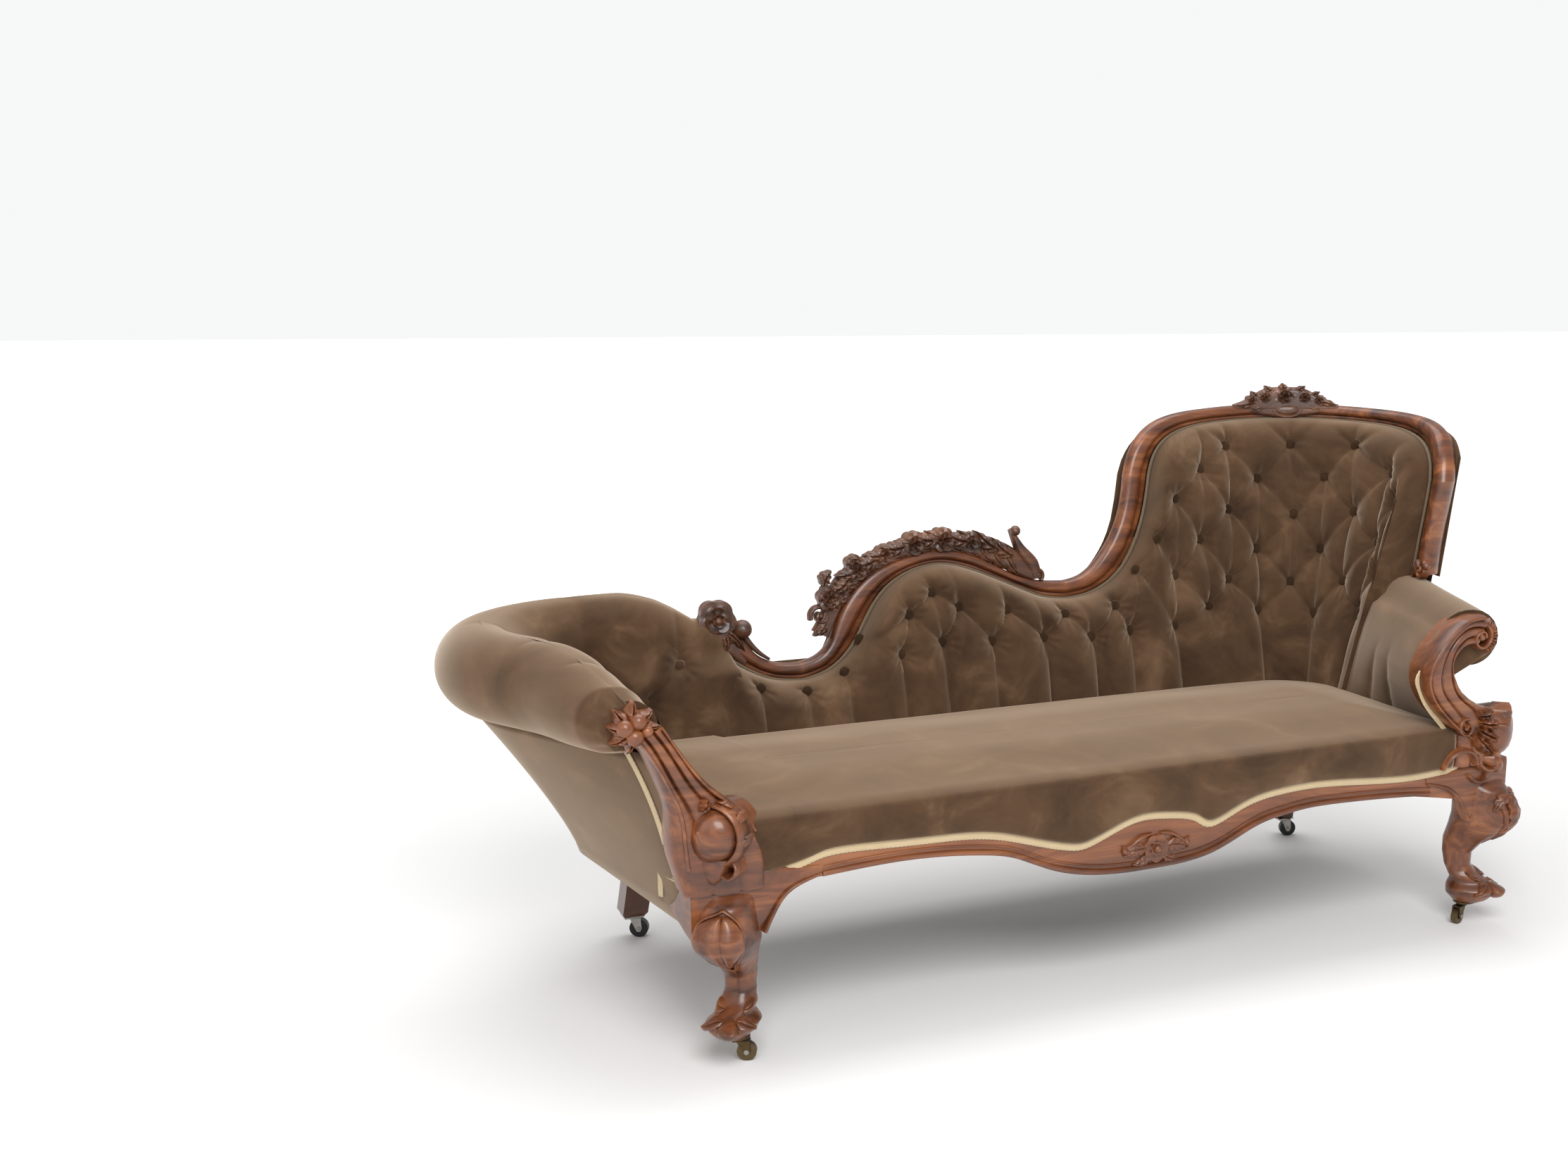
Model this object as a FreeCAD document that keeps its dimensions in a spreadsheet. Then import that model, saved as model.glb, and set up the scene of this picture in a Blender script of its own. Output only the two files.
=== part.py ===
import FreeCAD, Part
import Sketcher
import math
import os

from FreeCAD import Placement, Rotation, Vector

# A carved show-wood fainting couch: tufted back with a hump and a high corner, a rolled left end,
# a low right arm, cabriole front legs and castors. +X runs right along the seat, +Y to the back.

document = FreeCAD.newDocument("FaintingCouch")
sheet = document.addObject("Spreadsheet::Sheet", "Dimensions")

driving_values = [
    ("seat_centre_x", 105, "middle between the legs, seen from the front"),
    ("front_leg_spacing", 1410, "between the swivel axes of the front castors"),
    ("front_leg_y", -279, "swivel axis of the front castors"),
    ("rear_leg_spacing", 1440, "between the swivel axes of the rear castors"),
    ("rear_leg_y", 311, "swivel axis of the rear castors"),
    ("frame_front_y", -310, "outer face of the front rail"),
    ("rail_low_z", 285, "underside of the right and rear rails"),
    ("left_foot_z", 225, "foot of the left end and underside of its rail"),
    ("rail_top_z", 345, "top of all the seat rails"),
    ("rail_thickness", 30, "side and rear rails"),
    ("rail_setback", 22, "outer face of the rails from the back surface"),
    ("front_rail_thickness", 40, "front rail"),
    ("leg_block", 66, "square block at the top of a front leg"),
    ("leg_top_z", 322, "joint between front leg and arm support"),
    ("rear_leg_side", 46, "square rear leg"),
    ("rear_left_leg_lean", 47, "rake of the left rear leg, from top to foot"),
    ("rear_right_leg_turn", 38, "degrees round the corner to the top of the right rear leg"),
    ("back_y", 263, "front of the show frame at the seat"),
    ("back_level", 400, "height at which the back is measured"),
    ("back_lean", 0.12, "outward lean of the back, per unit of height"),
    ("corner_x", 650, "where the back starts to turn forward"),
    ("corner_radius", 210, "rounded rear corner of the back"),
    ("corner_turn", 104, "degrees that the back turns round the corner"),
    ("frame_depth", 38, "show frame, front to back"),
    ("cover_thickness", 2, "outside covers and bottom cloth"),
    ("high_middle", 750, "middle of the high back, along the back"),
    ("high_back_top", 932, "top of the crest rail"),
    ("hump_top", 680, "top of the hump rail"),
    ("back_pad_low", 78, "stuffing of the back at the seat"),
    ("back_pad_high", 46, "stuffing of the back near the top"),
    ("arm_pad_low", 108, "stuffing of the right arm at the seat"),
    ("tuft_pitch", 128, "between buttons in a row"),
    ("tuft_rise", 65, "between rows of buttons"),
    ("tuft_depth", 17, "depth of a sewn tuft"),
    ("button_radius", 9, "covered buttons"),
    ("seat_height", 408, "crown of the seat above the floor"),
    ("seat_edge", 392, "top of the seat at its rim"),
    ("seat_overhang", 12, "seat lip in front of the rail"),
    ("left_front_x", -668, "outside of the left end at its foot, in front"),
    ("left_far_x", -735, "outside of the left end at its foot, far left"),
    ("left_flare_front", 60, "outward flare of the left end in front"),
    ("left_flare_far", 170, "outward flare of the left end, far left"),
    ("left_corner_low", 130, "rounded corner of the left end at its foot"),
    ("left_corner_high", 235, "rounded corner of the left end under the roll"),
    ("left_join_x", -485, "where the left end meets the back"),
    ("left_pad", 72, "stuffing of the left end"),
    ("rib_depth", 22, "ribs of the left end"),
    ("roll_low_z", 505, "underside of the left roll"),
    ("roll_radius", 63, "left roll at its fullest"),
    ("roll_front_radius", 46, "left roll behind its rosette"),
    ("right_roll_radius", 48, "roll of the right arm"),
    ("right_roll_z", 556, "middle of the right roll, in front"),
    ("support_thickness", 34, "arm supports, front to back"),
    ("boss_radius", 36, "domed boss at the foot of an arm support"),
    ("boss_z", 377, "middle of the domed bosses"),
    ("front_wheel_radius", 15, "front castor wheel"),
    ("front_wheel_width", 11, "front castor wheel"),
    ("front_castor_height", 43, "floor to underside of a front leg"),
    ("rear_wheel_radius", 17, "rear castor wheel"),
    ("rear_wheel_width", 14, "rear castor wheel"),
    ("rear_castor_height", 42, "floor to underside of a rear leg"),
    ("castor_trail", 12, "swivel axis to wheel axle"),
    ("castor_plate", 2.5, "thickness of a castor plate"),
    ("pintle_radius", 3.5, "castor pintle"),
    ("axle_radius", 2.5, "castor wheel axle"),
    ("running_clearance", 0.06, "radial clearance of pintles and axles"),
    ("end_clearance", 0.3, "side and end clearance of turning pieces"),
    ("cheek_thickness", 2.5, "castor fork cheeks"),
    ("gimp_width", 12, "woven braid"),
    ("gimp_thickness", 2, "woven braid"),
    ("piping_radius", 2.5, "cord along the inner edge of the show frame"),
    ("web_width", 50, "webbing straps"),
    ("web_thickness", 2, "webbing straps"),
    ("spring_radius", 38, "seat springs"),
    ("spring_wire", 1.9, "radius of the spring wire"),
    ("spring_turns", 5, "turns of each seat spring"),
    ("screw_radius", 2.2, "corner block and castor screws"),
    ("soft_clearance", 0.4, "gap left between stuffed pieces and their neighbours"),
]
for row, (alias, number, meaning) in enumerate(driving_values, 1):
    sheet.set("A%d" % row, alias)
    sheet.set("B%d" % row, str(number))
    sheet.set("C%d" % row, meaning)
    sheet.setAlias("B%d" % row, alias)
document.recompute()


def size(alias):
    return float(sheet.get(alias))


nodes = []


def solid_node(label, shape, seat=None):
    node = document.addObject("Part::Feature", label)
    node.Shape = shape
    node.Placement = seat if seat else Placement()
    node.Label = label
    nodes.append(node)
    return node


def bound(node, label, **expressions):
    for name, expression in expressions.items():
        node.setExpression(name, expression)
    node.Label = label
    return node


def origin_plane(body, role):
    return next(item for item in body.Origin.OriginFeatures if item.Role == role)


def new_sketch(body, name, role):
    sketch = body.newObject("Sketcher::SketchObject", name)
    sketch.AttachmentSupport = (origin_plane(body, role), [""])
    sketch.MapMode = "FlatFace"
    return sketch


def sketch_rectangle(sketch, left, low, wide, tall):
    # Each argument is an expression on the sheet, and drives one constraint of the rectangle.
    corners = [Vector(0, 0, 0), Vector(10, 0, 0), Vector(10, 10, 0), Vector(0, 10, 0)]
    first = sketch.GeometryCount
    for index in range(4):
        sketch.addGeometry(Part.LineSegment(corners[index], corners[(index + 1) % 4]), False)
    for index in range(4):
        following = first + (index + 1) % 4
        sketch.addConstraint(Sketcher.Constraint("Coincident", first + index, 2, following, 1))
        kind = "Horizontal" if index % 2 == 0 else "Vertical"
        sketch.addConstraint(Sketcher.Constraint(kind, first + index))
    sizes = [
        ("DistanceX", (-1, 1, first, 1), left),
        ("DistanceY", (-1, 1, first, 1), low),
        ("DistanceX", (first, 1, first, 2), wide),
        ("DistanceY", (first + 1, 1, first + 1, 2), tall),
    ]
    for kind, ends, expression in sizes:
        number = sketch.addConstraint(Sketcher.Constraint(kind, *ends, 10.0))
        sketch.setExpression("Constraints[%d]" % number, expression)


def sketch_circle(sketch, across, up, radius):
    index = sketch.addGeometry(Part.Circle(Vector(1, 1, 0), Vector(0, 0, 1), 5), False)
    number = sketch.addConstraint(Sketcher.Constraint("Radius", index, 5.0))
    sketch.setExpression("Constraints[%d]" % number, radius)
    for kind, expression in (("DistanceX", across), ("DistanceY", up)):
        number = sketch.addConstraint(Sketcher.Constraint(kind, -1, 1, index, 3, 1.0))
        sketch.setExpression("Constraints[%d]" % number, expression)


# Plan of the back: a straight run, a rounded corner and a short return towards the front.

back_y = size("back_y")
back_level = size("back_level")
back_lean = size("back_lean")
corner_x = size("corner_x")
corner_radius = size("corner_radius")
corner_turn = math.radians(size("corner_turn"))
frame_depth = size("frame_depth")
cover = size("cover_thickness")
front_y = size("frame_front_y")
rail_low = size("rail_low_z")
rail_top = size("rail_top_z")
soft_gap = size("soft_clearance")
corner_centre = Vector(corner_x, back_y - corner_radius, 0)
corner_end = corner_x + corner_radius * corner_turn


def back_normal(along):
    turn = min(max((along - corner_x) / corner_radius, 0), corner_turn)
    return Vector(math.sin(turn), math.cos(turn), 0)


def back_point(along, height, out=0.0):
    # A point of the back surface, or of its offset: out is positive away from the sitter.
    normal = back_normal(along)
    if along <= corner_x:
        foot = Vector(along, back_y, 0)
    else:
        foot = corner_centre + normal * corner_radius
    if along > corner_end:
        forward = Vector(math.cos(corner_turn), -math.sin(corner_turn), 0)
        foot = foot + forward * (along - corner_end)
    shift = back_lean * (height - back_level) + out
    return Vector(foot.x + normal.x * shift, foot.y + normal.y * shift, height)


def arm_front_along():
    # Where the right return of the back reaches the plane of the arm supports.
    end = corner_centre + back_normal(corner_end) * corner_radius
    return corner_end + (end.y - front_y) / math.sin(corner_turn)


# Plan of the left end: from the front, round the far corner and along the back.

left_join_x = size("left_join_x")
left_foot = size("left_foot_z")
left_height = size("roll_low_z") - left_foot


def left_course(height):
    rise = max(height - left_foot, 0) / left_height
    radius = size("left_corner_low") + (size("left_corner_high") - size("left_corner_low")) * rise
    front_x = size("left_front_x") - size("left_flare_front") * rise ** 2.2
    far_x = size("left_far_x") - size("left_flare_far") * rise ** 1.2
    rear_y = back_point(0, height, frame_depth + cover).y
    centre = Vector(far_x + radius, rear_y - radius, 0)
    start = Vector(front_x, front_y, 0)
    reach = centre - start
    bearing = math.atan2(reach.y, reach.x)
    swing = math.asin(radius / reach.Length)
    heading = bearing + swing
    return start, centre, radius, heading


def left_point(station, height, inward=0.0, start_y=None):
    # station runs from 0 at the front over 1 and 2, the ends of the rounded corner, to 3 at the back.
    start, centre, radius, heading = left_course(height)
    outward = Vector(-math.sin(heading), math.cos(heading), 0)
    forward = Vector(math.cos(heading), math.sin(heading), 0)
    touch = centre + outward * radius
    if station <= 1:
        end = touch - outward * inward
        first_y = front_y if start_y is None else start_y
        begin = end - forward * ((end.y - first_y) / forward.y)
        place = begin + (end - begin) * station
    elif station <= 2:
        first = math.atan2(outward.y, outward.x) % (2 * math.pi)
        angle = first + (math.pi / 2 - first) * (station - 1)
        reach = radius - inward
        place = centre + Vector(math.cos(angle), math.sin(angle), 0) * reach
    else:
        begin = centre + Vector(0, radius - inward, 0)
        place = Vector(begin.x + (left_join_x - begin.x) * (station - 2), begin.y, 0)
    return Vector(place.x, place.y, height)


def outside_out(shape):
    return shape.reversed() if shape.Volume < 0 else shape


def closed_wire(points):
    return Part.makePolygon(points + [points[0]])


def ruled_solid(sections):
    # A solid through closed outlines that all have as many corners.
    return outside_out(Part.makeLoft([closed_wire(points) for points in sections], True, True))


def smooth_line(points, count):
    # Even steps along a smooth curve through a few points of an outline, given as (along, height).
    curve = Part.BSplineCurve()
    curve.interpolate([Vector(along, height, 0) for along, height in points])
    return [(point.x, point.y) for point in curve.toShape().discretize(count)]


# Outlines of the show frame, as distance along the back and height above the floor.

high_middle = size("high_middle")
crest_z = size("high_back_top")
hump_z = size("hump_top")

left_outer = [(-430, 590), (-400, 548), (-370, 510), (-325, 492), (-290, 491)]
left_inner = [(-468, 556), (-436, 520), (-395, 490), (-345, 467), (-290, 460)]
hump_outer = [
    (-290, 491), (-258, 500), (-232, 524), (-212, 570), (-180, 616), (-130, 652),
    (-60, hump_z - 7), (0, hump_z), (60, hump_z - 12), (120, 640), (185, 612), (262, 603),
]
hump_inner = [
    (-290, 460), (-241, 473), (-198, 505), (-165, 552), (-130, 602), (-78, 638),
    (-10, hump_z - 27), (50, 643), (110, 620), (170, 594), (215, 577), (262, 570),
]
stile_outer = [(262, 603), (305, 613), (345, 645), (378, 690), (400, 745), (410, 800)]
stile_inner = [(262, 570), (315, 577), (368, 602), (405, 640), (432, 690), (450, 745), (461, 800)]
crest_outer_left = [(410, 800), (424, 842), (456, 884), (510, 912), (600, 925)]
crest_inner_left = [(461, 800), (474, 836), (502, 868), (556, 890), (635, 900)]
crest_outer = crest_outer_left + [(high_middle, crest_z)]
crest_outer += [(2 * high_middle - along, height) for along, height in reversed(crest_outer_left)]
crest_inner = crest_inner_left + [(high_middle, crest_z - 27)]
crest_inner += [(2 * high_middle - along, height) for along, height in reversed(crest_inner_left)]
far_outer = 2 * high_middle - 410
far_inner = 2 * high_middle - 461
right_outer = [(far_outer, 800), (far_outer - 6, 740), (far_outer - 9, 690), (far_outer - 4, 622)]
right_inner = [(far_inner, 800), (far_inner - 1, 740), (far_inner - 4, 690), (far_inner - 4, 622)]


def moulding(outer, inner, steps):
    # The moulded section: a cove beside the stuffing, a proud bead, and a square back.
    sections = []
    for (along, height), (inside, level) in zip(smooth_line(outer, steps), smooth_line(inner, steps)):
        def across(share, out):
            return back_point(inside + (along - inside) * share, level + (height - level) * share, out)
        sections.append([
            across(0, frame_depth), across(0, 6), across(0.35, 2), across(0.55, -7),
            across(0.85, -5), across(1, 6), across(1, frame_depth),
        ])
    return ruled_solid(sections)


rail_left = solid_node("back_rail_left", moulding(left_outer, left_inner, 9))
rail_hump = solid_node("back_rail_hump", moulding(hump_outer, hump_inner, 30))
stile_left = solid_node("back_stile_left", moulding(stile_outer, stile_inner, 12))
crest_rail = solid_node("back_crest_rail", moulding(crest_outer, crest_inner, 40))
stile_body = moulding(right_outer, right_inner, 8)


def scroll(centre_along, centre_z, radius, depth_from, depth_to):
    # A turned volute end, square to the back surface.
    foot = back_point(centre_along, centre_z, depth_from)
    normal = back_normal(centre_along)
    return Part.makeCylinder(radius, depth_to - depth_from, foot, normal)


stile_scroll = scroll(far_outer - 12, 628, 17, -9, frame_depth)
stile_right = solid_node("back_stile_right", stile_body.fuse(stile_scroll).removeSplitter())
show_frame = [rail_left, rail_hump, stile_left, crest_rail, stile_right]

# Stuffing of the back: drawn in under the show frame, channelled below, diamond tufted above.

inner_samples = []
for outline in (left_inner, hump_inner, stile_inner, crest_inner):
    inner_samples += smooth_line(outline, 60)
outer_samples = []
for outline in (left_outer, hump_outer, stile_outer, crest_outer):
    outer_samples += smooth_line(outline, 60)


def sampled_height(samples, along):
    for (first, low), (second, high) in zip(samples, samples[1:]):
        if first <= along <= second and second > first:
            return low + (high - low) * (along - first) / (second - first)
    return samples[-1][1] if along > samples[-1][0] else samples[0][1]


rim_gap = 5.0
pad_left_top = size("roll_low_z") - 4


def pad_top(along):
    # The stuffing stays inside the inner edge of the show frame.
    if along < left_inner[1][0]:
        return pad_left_top
    level = min(sampled_height(inner_samples, along + shift) for shift in (-rim_gap, 0, rim_gap))
    return max(level - soft_gap, left_inner[-1][1] - rim_gap)


tuft_pitch = size("tuft_pitch")
tuft_rise = size("tuft_rise")
tuft_depth = size("tuft_depth")
pad_bottom = rail_top
row_step = tuft_rise / 2
first_row = pad_bottom + 6 * row_step
level_count = 17
canvas_out = 8.0
canvas_thickness = 2.0
rim_thickness = 10.0
rim_reach = 46.0


def ease(share):
    share = min(max(share, 0), 1)
    return share * share * (3 - 2 * share)


size_cache = {alias: float(number) for alias, number, _ in driving_values}


def back_stuffing(along, height):
    low = size_cache["back_pad_low"]
    low += (size_cache["arm_pad_low"] - low) * ease((along - high_middle + 300) / 400)
    rise = (height - pad_bottom) / (crest_z - pad_bottom)
    return low + (size_cache["back_pad_high"] - low) * rise


def tuft_hollow(along, height):
    # 1 on a sewn pleat or button, 0 on the crown between them.
    across = (along - high_middle) / tuft_pitch
    if height < first_row:
        return 1 - abs(math.sin(math.pi * (across + 0.5))) ** 0.75
    up = (height - first_row - tuft_rise) / (2 * tuft_rise)
    ridge = abs(math.sin(math.pi * (across + up))) * abs(math.sin(math.pi * (across - up)))
    return 1 - ridge ** 0.75


def back_front(along, height):
    # Distance of the stuffed face in front of the back surface.
    drop = pad_top(along) - height
    drawn = math.sqrt(max(0, 1 - (1 - min(max(drop, 0), rim_reach) / rim_reach) ** 2))
    full = back_stuffing(along, height) - tuft_depth * tuft_hollow(along, height)
    return rim_thickness + (full - rim_thickness) * drawn


pad_start = left_join_x + soft_gap
pad_end = far_inner - 8
station_step = tuft_pitch / 4


def pad_stations():
    first = math.ceil((pad_start - high_middle) / station_step)
    last = math.floor((pad_end - high_middle) / station_step)
    stations = [pad_start]
    stations += [high_middle + station_step * k for k in range(first, last + 1)]
    for along in (410, 446, 454, 470, 478):
        stations.append(along + stile_inner[-1][0] - 461)
    stations += [2 * high_middle - 478, pad_end]
    stations = sorted(stations)
    kept = [stations[0]]
    for along in stations[1:]:
        if along - kept[-1] > 4:
            kept.append(along)
    kept[-1] = pad_end
    return kept


def pad_levels(along):
    top = pad_top(along)
    return [pad_bottom + (top - pad_bottom) * step / level_count for step in range(level_count + 1)]


stations = pad_stations()
pad_sections = []
for along in stations:
    levels = pad_levels(along)
    section = [back_point(along, levels[0], canvas_out), back_point(along, levels[-1], canvas_out)]
    section += [back_point(along, z, -back_front(along, z)) for z in reversed(levels)]
    pad_sections.append(section)
back_pad = solid_node("back_pad", ruled_solid(pad_sections))

canvas_sections = []
for along in stations:
    top = pad_top(along)
    canvas_sections.append([
        back_point(along, pad_bottom, canvas_out), back_point(along, top, canvas_out),
        back_point(along, top, canvas_out + canvas_thickness),
        back_point(along, pad_bottom, canvas_out + canvas_thickness),
    ])
solid_node("back_canvas", ruled_solid(canvas_sections))

# Covered buttons: each a shallow cone seated in its tuft, with a domed face.

button_radius = size("button_radius")


button_profile = [(0, 0), (1.5, 0), (1, 6), (0.78, 8.5), (0.33, 9.3), (0, 9.3)]


def button_solid(apex, outward):
    corners = [Vector(0, 0, 0), Vector(1.5, 0, 0)]
    corners += [Vector(button_radius * share, 0, height) for share, height in button_profile[2:]]
    turned = Part.Face(closed_wire(corners)).revolve(Vector(0, 0, 0), Vector(0, 0, 1), 360)
    turned.Placement = Placement(apex, Rotation(Vector(0, 0, 1), outward))
    return turned


def face_out(along, height):
    # The stuffed face between two levels of a station is straight.
    levels = pad_levels(along)
    for low, high in zip(levels, levels[1:]):
        if low <= height <= high:
            share = (height - low) / (high - low)
            return back_front(along, low) * (1 - share) + back_front(along, high) * share
    return back_front(along, levels[-1])


buttons = []
button_reach = 34
for column in range(-20, 6):
    for row in range(6):
        along = high_middle + tuft_pitch * (column + (0.5 if row % 2 == 0 else 0))
        height = first_row + tuft_rise * row
        if not pad_start + 40 < along < pad_end - 20:
            continue
        if height > pad_top(along) - button_reach:
            if row > 0:
                continue
            height = pad_top(along) - 20
        near = min(stations, key=lambda item: abs(item - along))
        apex = back_point(near, height, -face_out(near, height) - 1.5)
        buttons.append(button_solid(apex, back_normal(near) * -1))
trimmed_buttons = Part.makeCompound(buttons).cut(back_pad.Shape)
solid_node("back_buttons", Part.makeCompound([piece for piece in trimmed_buttons.Solids if piece.Volume > 500]))
print("buttons", len(buttons))

# Cord that hides the tacks along the inner edge of the show frame.

piping_radius = size("piping_radius")
piping_out = 0.4
piping_inset = 5.5
piping_sections = []
piping_path = []
for outline, outside, steps in (
    (left_inner, left_outer, 7), (hump_inner, hump_outer, 22),
    (stile_inner, stile_outer, 9), (crest_inner, crest_outer, 30), (right_inner, right_outer, 5),
):
    pairs = list(zip(smooth_line(outline, steps), smooth_line(outside, steps)))
    piping_path += pairs if not piping_path else pairs[1:]
for (inside, level), (along, height) in piping_path:
    run_along = along - inside
    run_up = height - level
    length = math.hypot(run_along, run_up)
    section = []
    for corner in range(6):
        angle = math.pi / 3 * corner
        share = (piping_inset + piping_radius * math.cos(angle)) / length
        out = piping_out + piping_radius * math.sin(angle)
        section.append(back_point(inside + run_along * share, level + run_up * share, out))
    piping_sections.append(section)
solid_node("back_piping", ruled_solid(piping_sections))

# Hidden uprights of the back, standing on the rear rail and let into the show frame.

post_half = 18
post_front = canvas_out + canvas_thickness + 1.5
post_back = frame_depth - 2


def post_solid(along, top):
    sections = []
    for height in (rail_top, top):
        sections.append([
            back_point(along - post_half, height, post_front), back_point(along + post_half, height, post_front),
            back_point(along + post_half, height, post_back), back_point(along - post_half, height, post_back),
        ])
    return ruled_solid(sections)


posts = []
for along in (-340, -150, 40, 230, 420, 600, 745, 870, 990):
    post = post_solid(along, sampled_height(inner_samples, along) + 12)
    for rail in show_frame:
        if post.BoundBox.intersect(rail.Shape.BoundBox):
            post = post.cut(rail.Shape)
    pieces = sorted(post.Solids, key=lambda piece: -piece.Volume)
    posts.append(pieces[0])
solid_node("back_posts", Part.makeCompound(posts))

# Outside cover of the back, from the left end to the right stile.

cover_drop = 8
cover_gap = 1.7
cover_low = rail_low - 2
cover_step = 16


def cover_top(along):
    if along < left_outer[1][0]:
        return size_cache["roll_low_z"] - 2
    level = min(sampled_height(outer_samples, along + shift) for shift in (-5, 0, 5))
    return level - cover_drop


cover_end = far_outer - 10
cover_sections = []
cover_stations = [left_join_x + cover_step * step for step in range(int((cover_end - left_join_x) / cover_step))]
cover_stations.append(cover_end)
for along in cover_stations:
    top = cover_top(along)
    middle = (cover_low + top) / 2
    levels = (cover_low, rail_top, middle, top)
    inner_side = [back_point(along, z, frame_depth + cover_gap) for z in levels]
    outer_side = [back_point(along, z, frame_depth + cover_gap + cover) for z in reversed(levels)]
    cover_sections.append(inner_side + outer_side)
arm_space_sections = []
for along in (pad_end + 2, pad_end + 30, pad_end + 90):
    arm_space_sections.append([
        back_point(along, 200, 20), back_point(along, 614, 20),
        back_point(along, 614, 70), back_point(along, 200, 70),
    ])
arm_space = ruled_solid(arm_space_sections)
solid_node("outside_back_cover", ruled_solid(cover_sections).cut(arm_space).Solids[0])

# Left end: rolled, tufted inside, on bent rails and ribs.

roll_low = size("roll_low_z")
rib_depth = size("rib_depth")
left_pad_face = cover + rib_depth + size("left_pad")
front_face_levels = [(345, 92), (385, 90), (415, 72), (444, 50), (466, 38), (505, 27), (560, 25)]
roll_inset_front = -28.0
roll_inset_far = 18.0


def roll_inset(station):
    return roll_inset_front + (roll_inset_far - roll_inset_front) * ease(station / 0.75)


def left_face(station, height):
    # The stuffing of the left end thins out towards the edge of its carved support.
    thin = sampled_height(front_face_levels, height)
    return thin + (left_pad_face - thin) * ease(station / 0.4)


def left_back_side(station):
    return cover + 1.5 + (rib_depth - 1.5) * ease(station / 0.22)


def roll_size(station):
    full = size_cache["roll_radius"]
    front = size_cache["roll_front_radius"]
    radius = front + (full - front) * ease(station / 0.9)
    if station < 0.12:
        radius -= 6 * (1 - station / 0.12)
    if station > 2.6:
        radius -= 14 * ((station - 2.6) / 0.4) ** 2
    return radius


def ring_wire(centre, side, radius):
    # A round section, upright and square to the run, in four arcs; side points away from the run.
    def rim(angle):
        return centre + side * (radius * math.cos(angle)) + Vector(0, 0, radius * math.sin(angle))
    arcs = []
    for quarter in range(4):
        begin = math.pi / 2 * quarter
        arcs.append(Part.Arc(rim(begin), rim(begin + math.pi / 4), rim(begin + math.pi / 2)).toShape())
    return Part.Wire(arcs)


def left_outward(station):
    outer = left_point(station, roll_low, 0)
    inner = left_point(station, roll_low, 20)
    if station <= 1:
        start, centre, radius, heading = left_course(roll_low)
        return Vector(-math.sin(heading), math.cos(heading), 0)
    return (outer - inner).normalize()


def roll_centre(station):
    place = left_point(station, roll_low, roll_inset(station))
    return Vector(place.x, place.y, roll_low + roll_size(station))


line_steps = [0, 0.06, 0.12, 0.22, 0.35, 0.5, 0.65, 0.8]
arc_steps = [1 + step / 18 for step in range(18)]
rear_steps = [2, 2.3, 2.6, 2.75, 2.88, 3]
left_steps = line_steps + arc_steps + rear_steps
roll_wires = []
for station in left_steps:
    centre = roll_centre(station)
    settled = ease(station / 0.3)
    side = (left_outward(station) * settled + Vector(-1, 0, 0) * (1 - settled)).normalize()
    roll_wires.append(ring_wire(centre, side, roll_size(station)))
roll_body = outside_out(Part.makeLoft(roll_wires, True, True))

# Bent rail inside the left roll, and the pocket it fills.

core_half = 10.0
core_rise = 8.0


def core_solid(play):
    sections = []
    for station in left_steps[2:]:
        low = roll_low + core_rise - play
        high = roll_low + core_rise + 2 * core_half + play
        begin = left_point(station, roll_low, roll_inset(station) - core_half - play)
        end = left_point(station, roll_low, roll_inset(station) + core_half + play)
        sections.append([Vector(begin.x, begin.y, low), Vector(end.x, end.y, low),
                         Vector(end.x, end.y, high), Vector(begin.x, begin.y, high)])
    return ruled_solid(sections)


left_core = solid_node("left_arm_core", core_solid(0))
left_roll = solid_node("left_arm_roll", roll_body.cut(core_solid(soft_gap)))

left_levels = [left_foot + (roll_low - 1 - left_foot) * step / 6 for step in range(7)]
cover_sections = []
for station in left_steps:
    outer_side = [left_point(station, z, 0) for z in left_levels]
    inner_side = [left_point(station, z, cover) for z in reversed(left_levels)]
    cover_sections.append(outer_side + inner_side)
left_cover_body = ruled_solid(cover_sections)


def left_length():
    # Developed length of the inside of the left end at mid height.
    total = 0
    last = left_point(0, 440, left_pad_face)
    marks = [(0, 0.0)]
    for step in range(1, 121):
        place = left_point(step * 3 / 120, 440, left_pad_face)
        total += (place - last).Length
        last = place
        marks.append((step * 3 / 120, total))
    return marks


left_marks = left_length()


def left_station(distance):
    for (first, low), (second, high) in zip(left_marks, left_marks[1:]):
        if low <= distance <= high:
            return first + (second - first) * (distance - low) / (high - low)
    return 3.0


left_total = left_marks[-1][1]
left_column = tuft_pitch * 0.8
column_count = int(left_total / left_column)
left_column = left_total / column_count
left_button_z = roll_low - 22


def left_hollow(distance, height):
    # Channels from the buttons to the seat, and pleats that fan out under the roll.
    across = distance / left_column
    if height <= left_button_z:
        return 1 - abs(math.sin(math.pi * across)) ** 0.75
    share = (height - left_button_z) / (roll_low + size_cache["roll_radius"] - left_button_z)
    return (1 - abs(math.sin(math.pi * across)) ** 0.75) * (1 - 0.5 * share)


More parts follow.
